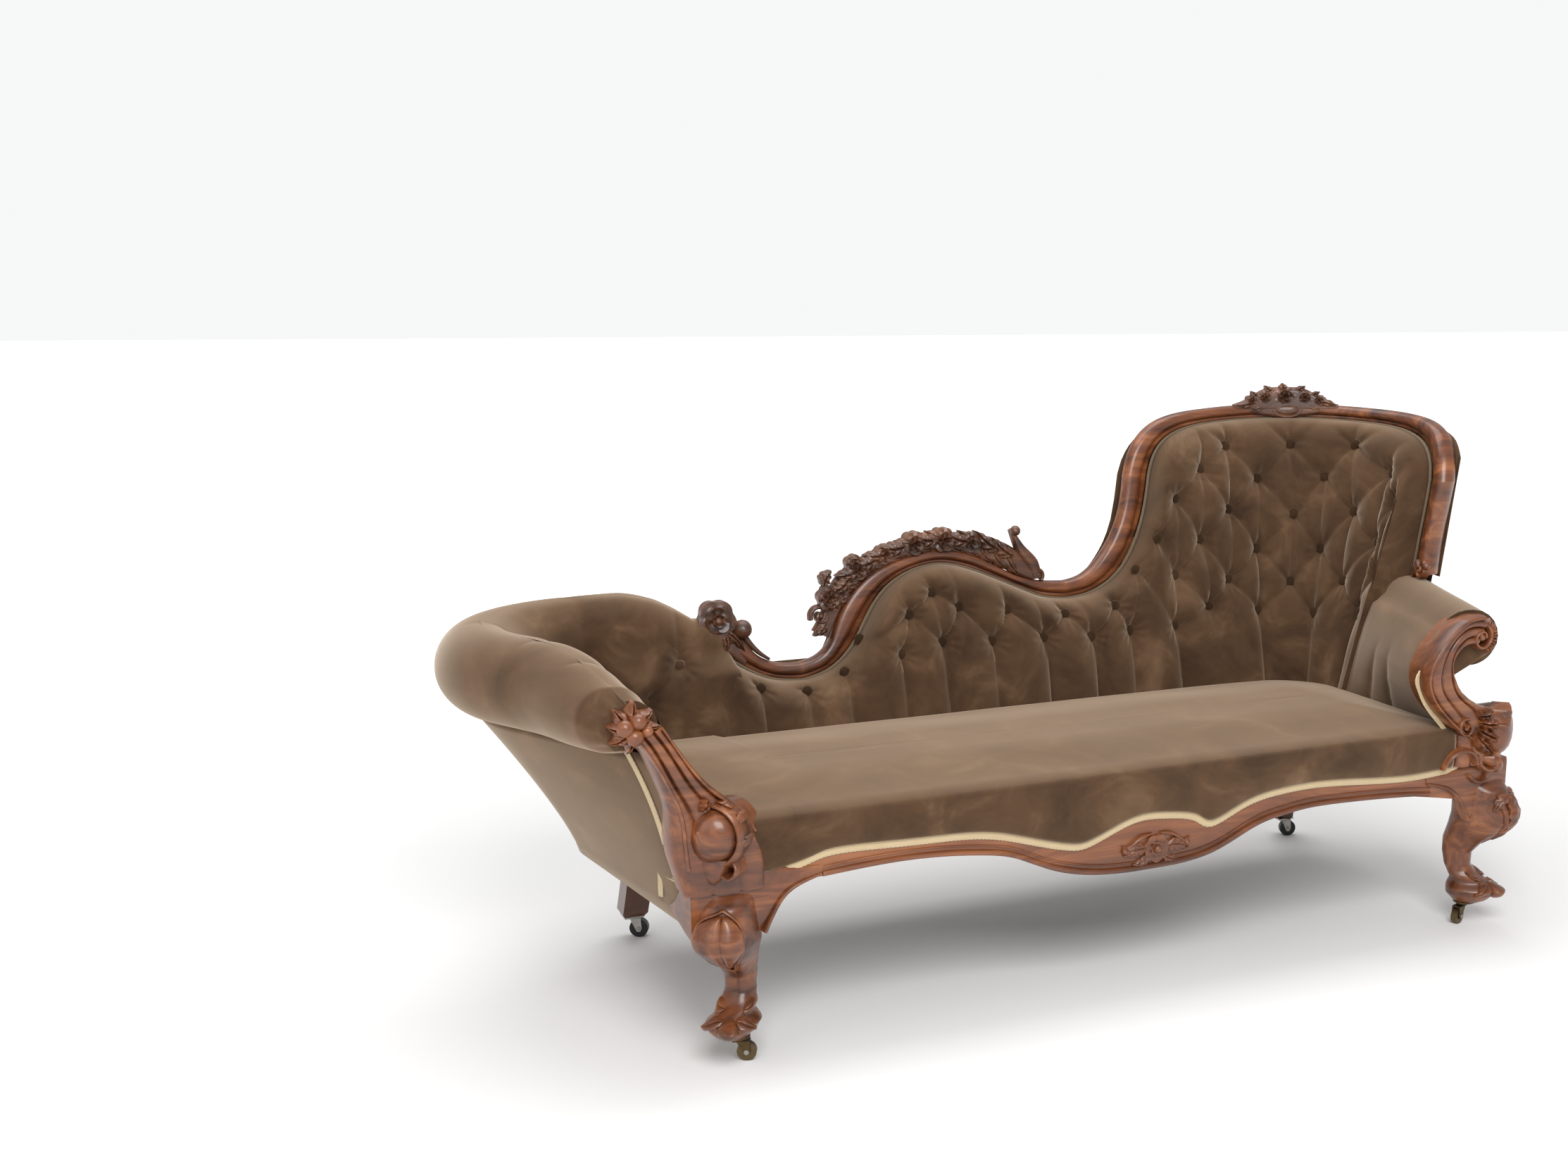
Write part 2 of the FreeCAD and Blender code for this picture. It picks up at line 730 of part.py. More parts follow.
pad_sections = []
left_pad_columns = 4 * column_count
for step in range(left_pad_columns + 1):
    distance = left_total * step / left_pad_columns
    station = left_station(distance)
    radius = roll_size(station)
    flank = (radius + 4 * soft_gap) / math.cos(math.radians(15))
    back_side = left_back_side(station)
    section = [left_point(station, pad_bottom, back_side)]
    section += [left_point(station, z, back_side) for z in left_levels if z > pad_bottom]
    for angle in (-60, -30, 0):
        inward = roll_inset(station) + flank * math.cos(math.radians(angle))
        height = roll_low + radius + flank * math.sin(math.radians(angle))
        place = left_point(station, roll_low, inward)
        section.append(Vector(place.x, place.y, height))
    for share in (0.85, 0.55, 0.25, 0.0, -0.2, -0.45, -0.7, -1.0):
        if share >= 0:
            height = roll_low + (radius - 6) * share
            level = roll_low
        else:
            height = roll_low + (roll_low - pad_bottom) * share
            level = height
        soft = ease(station / 0.3)
        thick = left_face(station, height) - 10 * soft * max(share, 0) ** 2
        thick -= soft * tuft_depth * 0.8 * left_hollow(distance, height)
        place = left_point(station, level, thick)
        section.append(Vector(place.x, place.y, height))
    pad_sections.append(section)
left_pad_node = solid_node("left_end_pad", ruled_solid(pad_sections))

# Seat rails: boards under the back, round the corner, along the right arm and round the left end.


def flat_solid(points, low, high):
    # An upright board or sheet over a plan outline.
    base = [Vector(point.x, point.y, low) for point in points]
    return Part.Face(closed_wire(base)).extrude(Vector(0, 0, high - low))


def box_solid(x_low, x_high, y_low, y_high, z_low, z_high):
    corner = Vector(x_low, y_low, z_low)
    return Part.makeBox(x_high - x_low, y_high - y_low, z_high - z_low, corner)


def largest(shape):
    return sorted(shape.Solids, key=lambda piece: -piece.Volume)[0]


setback = size("rail_setback")
rail_thick = size("rail_thickness")
front_thick = size("front_rail_thickness")
block = size("leg_block")
left_leg_x = size("seat_centre_x") - size("front_leg_spacing") / 2
right_leg_x = size("seat_centre_x") + size("front_leg_spacing") / 2
leg_y = size("front_leg_y")
inner_front_y = front_y + front_thick

corner_alongs = [corner_x + (corner_end - corner_x) * step / 14 for step in range(15)]
return_end = arm_front_along()


def rail_plan(alongs):
    outside = [back_point(along, rail_top, setback) for along in alongs]
    inside = [back_point(along, rail_top, setback - rail_thick) for along in reversed(alongs)]
    return outside + inside


# Front legs: one cabriole profile cut from the front and one from the side, under a square block.

leg_front = [(30, 43), (58, 62), (60, 74), (24, 98), (12, 115), (13, 140), (30, 160), (60, 180),
             (80, 205), (84, 225), (74, 252), (62, 278), (56, 300), (56, 322)]
leg_back = [(-14, 43), (-30, 60), (-30, 75), (-24, 90), (-36, 115), (-41, 140), (-41, 165),
            (-34, 190), (-29, 215), (-29, 322)]
leg_half = [(20, 43), (33, 60), (41, 72), (26, 85), (31, 97), (25, 105), (22, 120), (23, 145),
            (28, 165), (36, 181), (46, 204), (46, 225), (42, 260), (40, 322)]
leg_reach = 110.0


def profile_prism(edge_one, edge_two, frame_u, frame_v, reach):
    # Two smooth edges, given as (across, height), closed at foot and top and drawn out sideways.
    def place(pair, origin):
        return origin + frame_u * pair[0] + Vector(0, 0, pair[1])
    origin = frame_v * -reach
    curve_one = Part.BSplineCurve()
    curve_one.interpolate([place(pair, origin) for pair in edge_one])
    curve_two = Part.BSplineCurve()
    curve_two.interpolate([place(pair, origin) for pair in edge_two])
    top = Part.LineSegment(curve_one.EndPoint, curve_two.EndPoint).toShape()
    foot = Part.LineSegment(curve_two.StartPoint, curve_one.StartPoint).toShape()
    wire = Part.Wire(Part.__sortEdges__([curve_one.toShape(), top, curve_two.toShape(), foot]))
    return outside_out(Part.Face(wire).extrude(frame_v * (2 * reach)))


castor_screw = size("screw_radius")


def screw_solid(place, up, length, head):
    # A countersunk screw: place is the middle of its head, up runs from head to point.
    cone = Part.makeCone(head, castor_screw, head - castor_screw, place, up)
    shank = Part.makeCylinder(castor_screw, length, place, up)
    return cone.fuse(shank).removeSplitter()


front_height = size("front_castor_height")
plate = size("castor_plate")


def castor_screw_group(centre, foot_z, spread, start_angle, count):
    group = []
    for step in range(count):
        angle = math.radians(start_angle) + 2 * math.pi * step / count
        place = Vector(centre.x + spread * math.cos(angle), centre.y + spread * math.sin(angle), foot_z)
        group.append(screw_solid(place, Vector(0, 0, 1), 16, 3.6))
    return group


diagonal = math.sqrt(0.5)
outward_left = Vector(-diagonal, -diagonal, 0)
sideways_left = Vector(diagonal, -diagonal, 0)
left_axis = Vector(left_leg_x, leg_y, 0)
leg_side = profile_prism(leg_front, leg_back, outward_left, sideways_left, leg_reach)
leg_face = profile_prism(leg_half, [(-half, z) for half, z in leg_half], sideways_left, outward_left, leg_reach)
cabriole = leg_side.common(leg_face)
cabriole.translate(left_axis)
leg_square = box_solid(left_leg_x - block / 2, left_leg_x + block / 2, front_y, front_y + block, 270, rail_top)
behind_front = box_solid(left_leg_x - block / 2 - 60, left_leg_x + 200, front_y, front_y + 300, 226, rail_top + 1)
knee_clear = box_solid(left_leg_x - block / 2, left_leg_x + block / 2, front_y, front_y + block, 200, rail_top)
cabriole = cabriole.cut(behind_front.cut(knee_clear))
wing_points = [Vector(left_leg_x + block / 2 - 2, front_y, 236), Vector(left_leg_x + 84, front_y, 276),
               Vector(left_leg_x + 84, front_y, 288), Vector(left_leg_x + block / 2 - 2, front_y, 288)]
wing = Part.Face(closed_wire(wing_points)).extrude(Vector(0, -8, 0))
left_leg = largest(cabriole.fuse([leg_square, wing]).removeSplitter())
mirror_middle = Vector(size("seat_centre_x"), 0, 0)
right_leg = outside_out(left_leg.mirror(mirror_middle, Vector(1, 0, 0)))

# Rear legs: square, chamfered at the foot and raked outward.

rear_side = size("rear_leg_side")
rear_height = size("rear_castor_height")
left_foot_centre = Vector(size("seat_centre_x") - size("rear_leg_spacing") / 2, size("rear_leg_y"), 0)
right_foot_centre = Vector(size("seat_centre_x") + size("rear_leg_spacing") / 2, size("rear_leg_y"), 0)
right_turn = math.radians(size("rear_right_leg_turn"))
right_normal = Vector(math.sin(right_turn), math.cos(right_turn), 0)
housing = 12
right_top_reach = corner_radius + back_lean * (rail_top - back_level) + setback - rail_thick
right_top_reach += housing - rear_side / 2
right_top_centre = corner_centre + right_normal * right_top_reach
left_top_centre = Vector(left_foot_centre.x + 8, left_foot_centre.y - size("rear_left_leg_lean") - 14, 0)


def rear_leg(foot, top, low_z, turn):
    # Straight in its upper part and swept outward below, like a sabre.
    across = Vector(math.cos(turn), -math.sin(turn), 0)
    along = Vector(math.sin(turn), math.cos(turn), 0)
    half = rear_side / 2
    sections = []
    marks = [(rear_height, 1.0, half - 5), (rear_height + 8, 0.965, half)]
    for step in range(1, 8):
        share = step / 7
        marks.append((rear_height + 8 + (low_z - rear_height - 8) * share, 0.965 * (1 - share) ** 1.3, half))
    marks.append((rail_top, 0, half))
    for height, sweep, side in marks:
        centre = top + (foot - top) * sweep
        sections.append([
            centre + across * side + along * side + Vector(0, 0, height),
            centre - across * side + along * side + Vector(0, 0, height),
            centre - across * side - along * side + Vector(0, 0, height),
            centre + across * side - along * side + Vector(0, 0, height),
        ])
    return ruled_solid(sections)


left_rear_leg = rear_leg(left_foot_centre, left_top_centre, left_foot, 0)
right_rear_leg = rear_leg(right_foot_centre, right_top_centre, rail_low, right_turn)

front_screws = []
rear_screws = []
for axis_x, start in ((left_leg_x, 45), (right_leg_x, 135)):
    foot = Vector(axis_x, leg_y, 0) + Vector(math.copysign(5, axis_x) * diagonal, -5 * diagonal, 0)
    front_screws += castor_screw_group(foot, front_height - plate, 13.5, start, 3)
for foot in (left_foot_centre, right_foot_centre):
    rear_screws += castor_screw_group(foot, rear_height - plate, 13.5, 45, 4)
all_screws = Part.makeCompound(front_screws + rear_screws)
solid_node("castor_screws", all_screws)
front_left_leg = solid_node("front_left_leg", largest(left_leg.cut(all_screws)))
front_right_leg = solid_node("front_right_leg", largest(right_leg.cut(all_screws)))
rear_left_leg = solid_node("rear_left_leg", largest(left_rear_leg.cut(all_screws)))
rear_right_leg = solid_node("rear_right_leg", largest(right_rear_leg.cut(all_screws)))

solid_node("outside_left_cover", largest(left_cover_body.cut(left_leg)))

# Rails of the seat, housed over the legs.

left_rail_plan = [left_point(station, left_foot, cover) for station in left_steps]
left_rail_plan += [left_point(station, left_foot, cover + rail_thick) for station in reversed(left_steps)]
left_rail_body = flat_solid(left_rail_plan, left_foot, rail_top)
left_rail = solid_node("left_end_rail", largest(left_rail_body.cut([left_leg, left_rear_leg])))
corner_body = flat_solid(rail_plan(corner_alongs), rail_low, rail_top)
corner_rail = solid_node("corner_rail", largest(corner_body.cut(right_rear_leg)))
right_body = flat_solid(rail_plan([corner_end, return_end]), rail_low, rail_top)
right_rail = solid_node("right_end_rail", largest(right_body.cut(right_leg.fuse(box_solid(
    right_leg_x - block, right_leg_x + block, front_y - block, front_y + block, 0, rail_top + 1)))))

rear_rail = document.addObject("PartDesign::Body", "RearRail")
rear_sketch = new_sketch(rear_rail, "RearRailSection", "YZ_Plane")
sketch_rectangle(
    rear_sketch,
    "Dimensions.back_y + Dimensions.back_lean * (Dimensions.rail_top_z - Dimensions.back_level)"
    " + Dimensions.rail_setback - Dimensions.rail_thickness",
    "Dimensions.rail_low_z", "Dimensions.rail_thickness",
    "Dimensions.rail_top_z - Dimensions.rail_low_z",
)
rear_pad = rear_rail.newObject("PartDesign::Pad", "RearRailPad")
rear_pad.Profile = rear_sketch
rear_pad.setExpression("Length", "Dimensions.corner_x - Dimensions.left_join_x")
rear_rail.Placement = Placement(Vector(left_join_x, 0, 0), Rotation())
rear_rail.Label = "rear_rail"
nodes.append(rear_rail)
document.recompute()

# Front rail with a shaped lower edge, and the small shell carved in its middle.

rail_edge = [(-567, 283), (-458, 287), (-319, 293), (-200, 282), (-143, 268), (-89, 243), (7, 218),
             (114, 214), (225, 225), (316, 262), (380, 276), (440, 281), (641, 273), (709, 262), (777, 250)]
edge_curve = Part.BSplineCurve()
edge_curve.interpolate([Vector(x, front_y, z) for x, z in rail_edge])
right_low = edge_curve.EndPoint
left_low = edge_curve.StartPoint
rail_wire = Part.Wire([
    edge_curve.toShape(),
    Part.LineSegment(right_low, Vector(right_low.x, front_y, rail_top)).toShape(),
    Part.LineSegment(Vector(right_low.x, front_y, rail_top), Vector(left_low.x, front_y, rail_top)).toShape(),
    Part.LineSegment(Vector(left_low.x, front_y, rail_top), left_low).toShape(),
])
front_body = outside_out(Part.Face(rail_wire).extrude(Vector(0, front_thick, 0)))
front_rail = solid_node("front_rail", front_body.cut([left_leg, right_leg]))

shell_lobes = [(116, 241, 26), (82, 249, 19), (150, 249, 19), (58, 252, 13), (174, 252, 13)]
shell = None
for lobe_x, lobe_z, radius in shell_lobes:
    lobe = Part.makeCone(radius, radius * 0.55, 9, Vector(lobe_x, front_y, lobe_z), Vector(0, -1, 0))
    shell = lobe if shell is None else shell.fuse(lobe)
cartouche = solid_node("front_rail_cartouche", shell.removeSplitter())

# Braid along the front, and the lip of the seat above it.

gimp_line = [(-560, 301), (-500, 314), (-462, 324), (-330, 322), (-198, 315), (-110, 292), (-40, 274),
             (-14, 275), (30, 291), (84, 307), (140, 305), (195, 293), (218, 280), (255, 290), (307, 310),
             (380, 320), (453, 321), (550, 314), (638, 309), (700, 311), (765, 313)]
gimp_half = size("gimp_width") / 2
gimp_thick = size("gimp_thickness")
gimp_sections = []
lip_sections = []
overhang = size("seat_overhang")
lip_end = 722
for x, z in smooth_line(gimp_line, 70):
    gimp_sections.append([
        Vector(x, front_y, z - gimp_half), Vector(x, front_y, z + gimp_half),
        Vector(x, front_y - gimp_thick, z + gimp_half), Vector(x, front_y - gimp_thick, z - gimp_half),
    ])
    if x > lip_end:
        continue
    low = z + gimp_half + soft_gap
    near = front_y - soft_gap
    lip_sections.append([
        Vector(x, near, low), Vector(x, near, rail_top + 8), Vector(x, front_y - overhang, rail_top + 8),
        Vector(x, front_y - overhang, low + 5), Vector(x, front_y - overhang + 4, low),
    ])
solid_node("front_gimp", ruled_solid(gimp_sections))
lip = ruled_solid(lip_sections)

# Right arm: a thin neck that rolls outward, between its carved front and the back.

arm_rear = pad_end + 3
roll_front = Vector(760, front_y, size("right_roll_z") - 6)
right_radius = size("right_roll_radius")
rear_radius = right_radius - 2
roll_rear_out = 4.0
roll_rear_z = 562.0


def rear_arm(out, height):
    return back_point(arm_rear, height, out)


def arm_loft(front_pairs, rear_pairs, shares, hollow=None):
    # From the front plane to the back; the corners run straight.
    sections = []
    for share in shares:
        section = []
        for number, (front_pair, rear_pair) in enumerate(zip(front_pairs, rear_pairs)):
            begin = Vector(front_pair[0], front_y, front_pair[1])
            place = begin + (rear_arm(*rear_pair) - begin) * share
            if hollow:
                place = place + hollow(number, share)
            section.append(place)
        sections.append(section)
    return ruled_solid(sections)


arm_out_front = [(808, 283), (807, 345), (801, 421), (770, 436), (738, 455), (714, 493), (716, 512)]
arm_out_rear = [(40, 283), (40, 345), (40, 421), (40, 445), (39, 465), (37, 490), (33, 503)]
cover_right = arm_loft(
    arm_out_front + [(x - cover * 1.2, z) for x, z in reversed(arm_out_front)],
    arm_out_rear + [(out - cover, z) for out, z in reversed(arm_out_rear)], (0, 0.25, 0.5, 0.75, 1))
block_space = box_solid(right_leg_x - block / 2 - 40, right_leg_x + block, front_y - 50, front_y + block, 200, rail_top)
cover_right = largest(cover_right.cut([right_leg, block_space]))
core_depth = 16.0
core_front = arm_out_front[1:]
core_rear = arm_out_rear[1:]
right_core = arm_loft(
    [(x - cover * 1.2 - 0.1, z) for x, z in core_front]
    + [(x - cover * 1.2 - core_depth, z) for x, z in reversed(core_front)],
    [(out - cover - 0.1, z) for out, z in core_rear]
    + [(out - cover - core_depth, z) for out, z in reversed(core_rear)], (0, 0.5, 1))
solid_node("right_arm_core", right_core)

flank = 1.11
front_ring = [(roll_front.x + right_radius * flank * math.cos(math.radians(angle)),
               roll_front.z + right_radius * flank * math.sin(math.radians(angle))) for angle in (200, 182, 165)]
rear_ring = [(roll_rear_out + rear_radius * flank * math.cos(math.radians(angle)),
              roll_rear_z + rear_radius * flank * math.sin(math.radians(angle))) for angle in (240, 215, 190)]
pad_gap = cover * 1.2 + core_depth + soft_gap
arm_front_face = [(700, 575), (682, 558), (661, 521), (656, 486), (671, 450), (703, 415), (741, 379), (749, 345)]
arm_rear_face = [(-52, 578), (-76, 562), (-86, 521), (-91, 486), (-95, 450), (-98, 415), (-101, 379), (-104, 345)]
arm_pad_front = [(x - pad_gap, z) for x, z in core_front] + front_ring + arm_front_face
arm_pad_rear = [(out - pad_gap, z) for out, z in core_rear] + rear_ring + arm_rear_face
face_start = len(core_front) + len(front_ring)
arm_channels = 3


def arm_hollow(number, share):
    if number < face_start + 1:
        return Vector(0, 0, 0)
    depth = 12 * (1 - abs(math.sin(math.pi * arm_channels * share)) ** 0.75) * ease(share / 0.3)
    return Vector(math.sin(corner_turn), math.cos(corner_turn), 0) * depth


arm_shares = [step / 12 for step in range(13)]
right_pad_body = arm_loft(arm_pad_front, arm_pad_rear, arm_shares, arm_hollow)
solid_node("right_arm_pad", right_pad_body)

front_wire = ring_wire(roll_front, Vector(1, 0, 0), right_radius)
rear_wire = ring_wire(rear_arm(roll_rear_out, roll_rear_z), back_normal(arm_rear), rear_radius)
right_roll = outside_out(Part.makeLoft([front_wire, rear_wire], True, True))
solid_node("right_arm_roll", right_roll)
solid_node("outside_right_cover", cover_right)

# Carved arm supports, each with its domed boss.

support_thick = size("support_thickness")
boss_radius = size("boss_radius")
boss_z = size("boss_z")


def support_plate(edge_one, edge_two):
    # Two smooth edges from foot to top, closed by straight ends.
    curves = []
    for edge in (edge_one, edge_two):
        curve = Part.BSplineCurve()
        curve.interpolate([Vector(x, front_y, z) for x, z in edge])
        curves.append(curve)
    top = Part.LineSegment(curves[0].EndPoint, curves[1].EndPoint).toShape()
    foot = Part.LineSegment(curves[0].StartPoint, curves[1].StartPoint).toShape()
    wire = Part.Wire(Part.__sortEdges__([curves[0].toShape(), top, curves[1].toShape(), foot]))
    return outside_out(Part.Face(wire).extrude(Vector(0, -support_thick, 0)))


def boss_solid(axis_x, direction):
    # A dome in a ring, facing outward on the corner.
    facing = Vector(direction * diagonal, -diagonal, 0)
    base = Vector(axis_x, leg_y, boss_z) + facing * 52
    ring = Part.makeCone(boss_radius + 11, boss_radius + 4, 12, base, facing)
    dome = Part.makeSphere(boss_radius * 1.2, base + facing * -12)
    keep = Part.makeCylinder(boss_radius, 40, base, facing)
    return ring.fuse(dome.common(keep))


left_outer_edge = [(-676, 322), (-683, 352), (-683, 413), (-701, 454), (-732, 515), (-745, 530)]
left_inner_edge = [(-578, 322), (-580, 352), (-604, 402), (-655, 444), (-673, 466), (-707, 516), (-720, 545)]
left_plate = support_plate(left_outer_edge, left_inner_edge)
rosette = Part.makeCone(30, 22, 9, Vector(-756, front_y - support_thick + 1, 545), Vector(0, -1, 0))
rosette = rosette.fuse(Part.makeCylinder(29, support_thick, Vector(-756, front_y, 545), Vector(0, -1, 0)))
left_boss = boss_solid(left_leg_x, -1)
leg_top = size("leg_top_z")
front_space = box_solid(-1000, 1100, front_y - 150, front_y, leg_top, 700)
left_support = left_plate.fuse([rosette, left_boss.common(front_space)]).cut(left_leg)
left_support = solid_node("left_arm_support", largest(left_support))

right_outer_edge = [(836, 322), (836, 352), (822, 395), (800, 421), (769, 434), (735, 455), (706, 493),
                    (716, 520), (740, 540)]
right_inner_edge = [(741, 322), (739, 352), (732, 385), (701, 415), (669, 450), (654, 486), (661, 521),
                    (690, 560), (740, 590)]
right_plate = support_plate(right_outer_edge, right_inner_edge)
volute = Part.makeCone(32, 26, 8, Vector(764, front_y - support_thick + 1, 556), Vector(0, -1, 0))
volute = volute.fuse(Part.makeCylinder(31, support_thick, Vector(764, front_y, 556), Vector(0, -1, 0)))
right_boss = boss_solid(right_leg_x, 1)
right_support = right_plate.fuse([volute, right_boss.common(front_space)]).cut(right_leg)
right_support = solid_node("right_arm_support", largest(right_support))

# Carved pieces planted on the show frame.


def carving(along_heights, lows, proud, depth, step):
    sections = []
    first = along_heights[0][0]
    last = along_heights[-1][0]
    count = int((last - first) / step)
    for index in range(count + 1):
        along = first + (last - first) * index / count
        top = sampled_height(along_heights, along)
        low = min(sampled_height(lows, along), top - 4)
        middle = (top + low) / 2
        sections.append([
            back_point(along, low, depth), back_point(along, low, -7), back_point(along, middle, -proud),
            back_point(along, top - 3, -proud + 3), back_point(along, top, 2), back_point(along, top, depth),
        ])
    return ruled_solid(sections)


crest_top = [(668, 935), (697, 953), (717, 968), (746, 973), (777, 968), (798, 953), (828, 935)]
crest_low = [(668, 927), (700, 919), (750, 916), (800, 919), (828, 927)]
crest_piece = carving(crest_top, crest_low, 16, 26, 8).cut(crest_rail.Shape)
solid_node("crest_carving", largest(crest_piece))
hump_silhouette = [(-258, 585), (-242, 645), (-216, 676), (-179, 683), (-130, 692), (-84, 707), (-45, 715),
                   (-21, 725), (6, 720), (53, 722), (97, 720), (126, 706), (141, 716), (164, 706), (188, 660)]
hump_low = [(-258, 560), (-232, 560), (-212, 566), (-180, 612), (-130, 646), (-60, 666), (0, 673),
            (60, 661), (120, 633), (188, 606)]
hump_piece = carving(hump_silhouette, hump_low, 15, 26, 12).cut(rail_hump.Shape)
solid_node("back_hump_carving", largest(hump_piece))
flower_centre = back_point(-432, 572, -14)
flower = Part.makeCone(18, 28, 10, flower_centre, Vector(0, 1, 0))
flower = flower.fuse(Part.makeCylinder(28, 30, flower_centre + Vector(0, 10, 0), Vector(0, 1, 0)))
solid_node("back_left_carving", largest(flower.cut(rail_left.Shape)))

# Ribs of the left end.

rib_marks = [(0.34, 0.03), (0.62, 0.03), (0.92, 0.03), (1.28, 0.026), (1.55, 0.026), (1.82, 0.026), (2.5, 0.04),
             (2.85, 0.04)]
rib_low = 261
rib_outer = cover + 1
rib_inner = cover + rib_depth - 1.6
ribs = []
for station, half in rib_marks:
    sections = []
    for height in [rib_low] + [z for z in left_levels if z > rib_low]:
        sections.append([
            left_point(station - half, height, rib_outer), left_point(station + half, height, rib_outer),
            left_point(station + half, height, rib_inner), left_point(station - half, height, rib_inner),
        ])
    ribs.append(largest(ruled_solid(sections).cut(left_rail.Shape)))
solid_node("left_end_ribs", Part.makeCompound(ribs))

# Seat: webbing, springs, canvas and the stuffed pad.

seat_gap = 1.2


def seat_outline(height, front_line, gather):
    # Along the stuffed back and right arm, the front edge, and the stuffed left end.
    outline = []
    for along in stations:
        if along > pad_start + 60:
            outline.append(back_point(along, height, -back_stuffing(along, height) - seat_gap))
    for share in (0.85, 0.7, 0.5, 0.3, 0.15):
        outline.append(arm_inner(share, height))
    seat_left = left_leg_x + block / 2 - 8
    for step in range(25):
        outline.append(Vector(lip_end + (seat_left - lip_end) * step / 24, front_line, height))
    for station in (0.08, 0.2, 0.35, 0.55, 0.8, 1.0, 1.2, 1.4, 1.6, 1.8, 2.0):
        outline.append(left_point(station, height, left_face(station, height) + seat_gap))
    return [gathered(place, gather) for place in outline]


def gathered(place, share):
    # Towards the ridge along the middle of the seat.
    ridge = Vector(min(max(place.x, -470), 590), -60, place.z)
    return place + (ridge - place) * share


def arm_inner(share, height):
    # The stuffed face of the right arm.
    def on_face(face):
        return sampled_height(sorted((z, x) for x, z in face), height)
    begin = Vector(on_face(arm_front_face), front_y, height)
    place = begin + (rear_arm(on_face(arm_rear_face), height) - begin) * share
    return place - Vector(math.sin(corner_turn), math.cos(corner_turn), 0) * seat_gap


seat_edge = size("seat_edge")
seat_crown = size("seat_height")
seat_front = front_y - overhang
seat_sections = []
for height, front_line, gather in (
    (rail_top, seat_front, 0), (seat_edge - 16, seat_front, 0), (seat_edge - 5, seat_front + 4, 0),
    (seat_edge, seat_front + 12, 0.03), (seat_edge + 7, seat_front + 30, 0.15),
    (seat_edge + 12, seat_front + 50, 0.35), (seat_crown, seat_front + 50, 0.7),
):
    seat_sections.append(seat_outline(height, front_line, gather))
seat_body = ruled_solid(seat_sections)
solid_node("seat_pad", largest(seat_body.fuse(lip)))

rail_inside = [back_point(along, rail_top, setback - rail_thick - 1) for along in [left_join_x] + corner_alongs]
rail_inside.append(back_point(return_end - block - 6, rail_top, setback - rail_thick - 1))
rail_inside += [Vector(right_leg_x - block / 2 - 1, front_y + block + 1, 0)]
rail_inside += [Vector(right_leg_x - block / 2 - 1, inner_front_y + 1, 0)]
rail_inside += [Vector(left_leg_x + block / 2 + 1, inner_front_y + 1, 0)]
rail_inside += [Vector(left_leg_x + block / 2 + 1, front_y + block + 1, 0)]
rail_inside += [left_point(station, left_foot, cover + rail_thick + 1) for station in left_steps[4:]]
canvas_top = rail_top - soft_gap
canvas_body = flat_solid(rail_inside, canvas_top - 2, canvas_top)
solid_node("spring_canvas", canvas_body.cut([right_rear_leg, left_rear_leg]))
cloth_body = flat_solid(rail_inside, rail_low - 6, rail_low - 4)
solid_node("bottom_cloth", cloth_body.cut([right_rear_leg, left_rear_leg, left_leg, right_leg]))

spring_columns = [-480 + 150 * step for step in range(9)]
spring_rows = [-190, -20, 150]
web_half = size("web_width") / 2
web_thick = size("web_thickness")
rear_inner_y = back_point(0, rail_top, setback - rail_thick).y
tab_height = 42
corner_strap_end = 244
straps = []
for x in spring_columns:
    reaches_rear_rail = x + web_half < corner_x
    strap_end = rear_inner_y if reaches_rear_rail else corner_strap_end
    strap = box_solid(x - web_half, x + web_half, inner_front_y, strap_end, rail_low - web_thick, rail_low)
    tab = box_solid(x - web_half, x + web_half, inner_front_y, inner_front_y + web_thick, rail_low, rail_low + tab_height)
    tabs = [tab]
    if reaches_rear_rail:
        tabs.append(box_solid(x - web_half, x + web_half, rear_inner_y - web_thick, rear_inner_y, rail_low, rail_low + tab_height))
    straps.append(largest(strap.fuse(tabs).cut([left_rear_leg, right_rear_leg, left_rail_body])))
for y, right_end in zip(spring_rows, (812, 855, 840)):
    strap = box_solid(-800, right_end, y - web_half, y + web_half, rail_low - 2 * web_thick, rail_low - web_thick)
    trimmed = strap.cut([left_rail_body, right_rear_leg])
    inside = [piece for piece in trimmed.Solids if piece.BoundBox.XMax > 0]
    straps.append(inside[0])
solid_node("seat_webbing", Part.makeCompound(straps))

wire = size("spring_wire")
spring_low = rail_low + wire + 0.1
spring_high = canvas_top - 2 - wire - 0.1
turns = int(size("spring_turns"))
spring_middle = size("spring_radius") - 6


def spring_path():
    # Quarter turns, each as two arcs that share their tangent, in an hourglass.
    def point(turn):
        share = turn / turns
        waist = spring_middle - 8 * math.sin(math.pi * share)
        angle = 2 * math.pi * turn
        return Vector(waist * math.cos(angle), waist * math.sin(angle), spring_low + (spring_high - spring_low) * share)
    edges = []
    total = turns * 6
    for index in range(total):
        first = index / 6
        edges.append(Part.Arc(point(first), point(first + 1 / 12), point(first + 1 / 6)).toShape())
    return Part.Wire(edges), point


def spring_solid():
    path, point = spring_path()
    tangent = (point(0.002) - point(0)).normalize()
    ring = Part.Wire([Part.Circle(point(0), tangent, wire).toShape()])
    sweep = Part.BRepOffsetAPI.MakePipeShell(path)
    sweep.setFrenetMode(True)
    sweep.setTransitionMode(1)
    sweep.add(ring)
    sweep.build()
    sweep.makeSolid()
    return outside_out(sweep.shape())


def spring_self_gap():
    # Least gap between two turns of the wire, on points of its middle line.
    _, point = spring_path()
    steps = 24
    places = [point(index / steps) for index in range(turns * steps + 1)]
    least = min((places[i] - places[j]).Length for i in range(len(places)) for j in range(i + steps // 2, len(places)))
    return least - 2 * wire


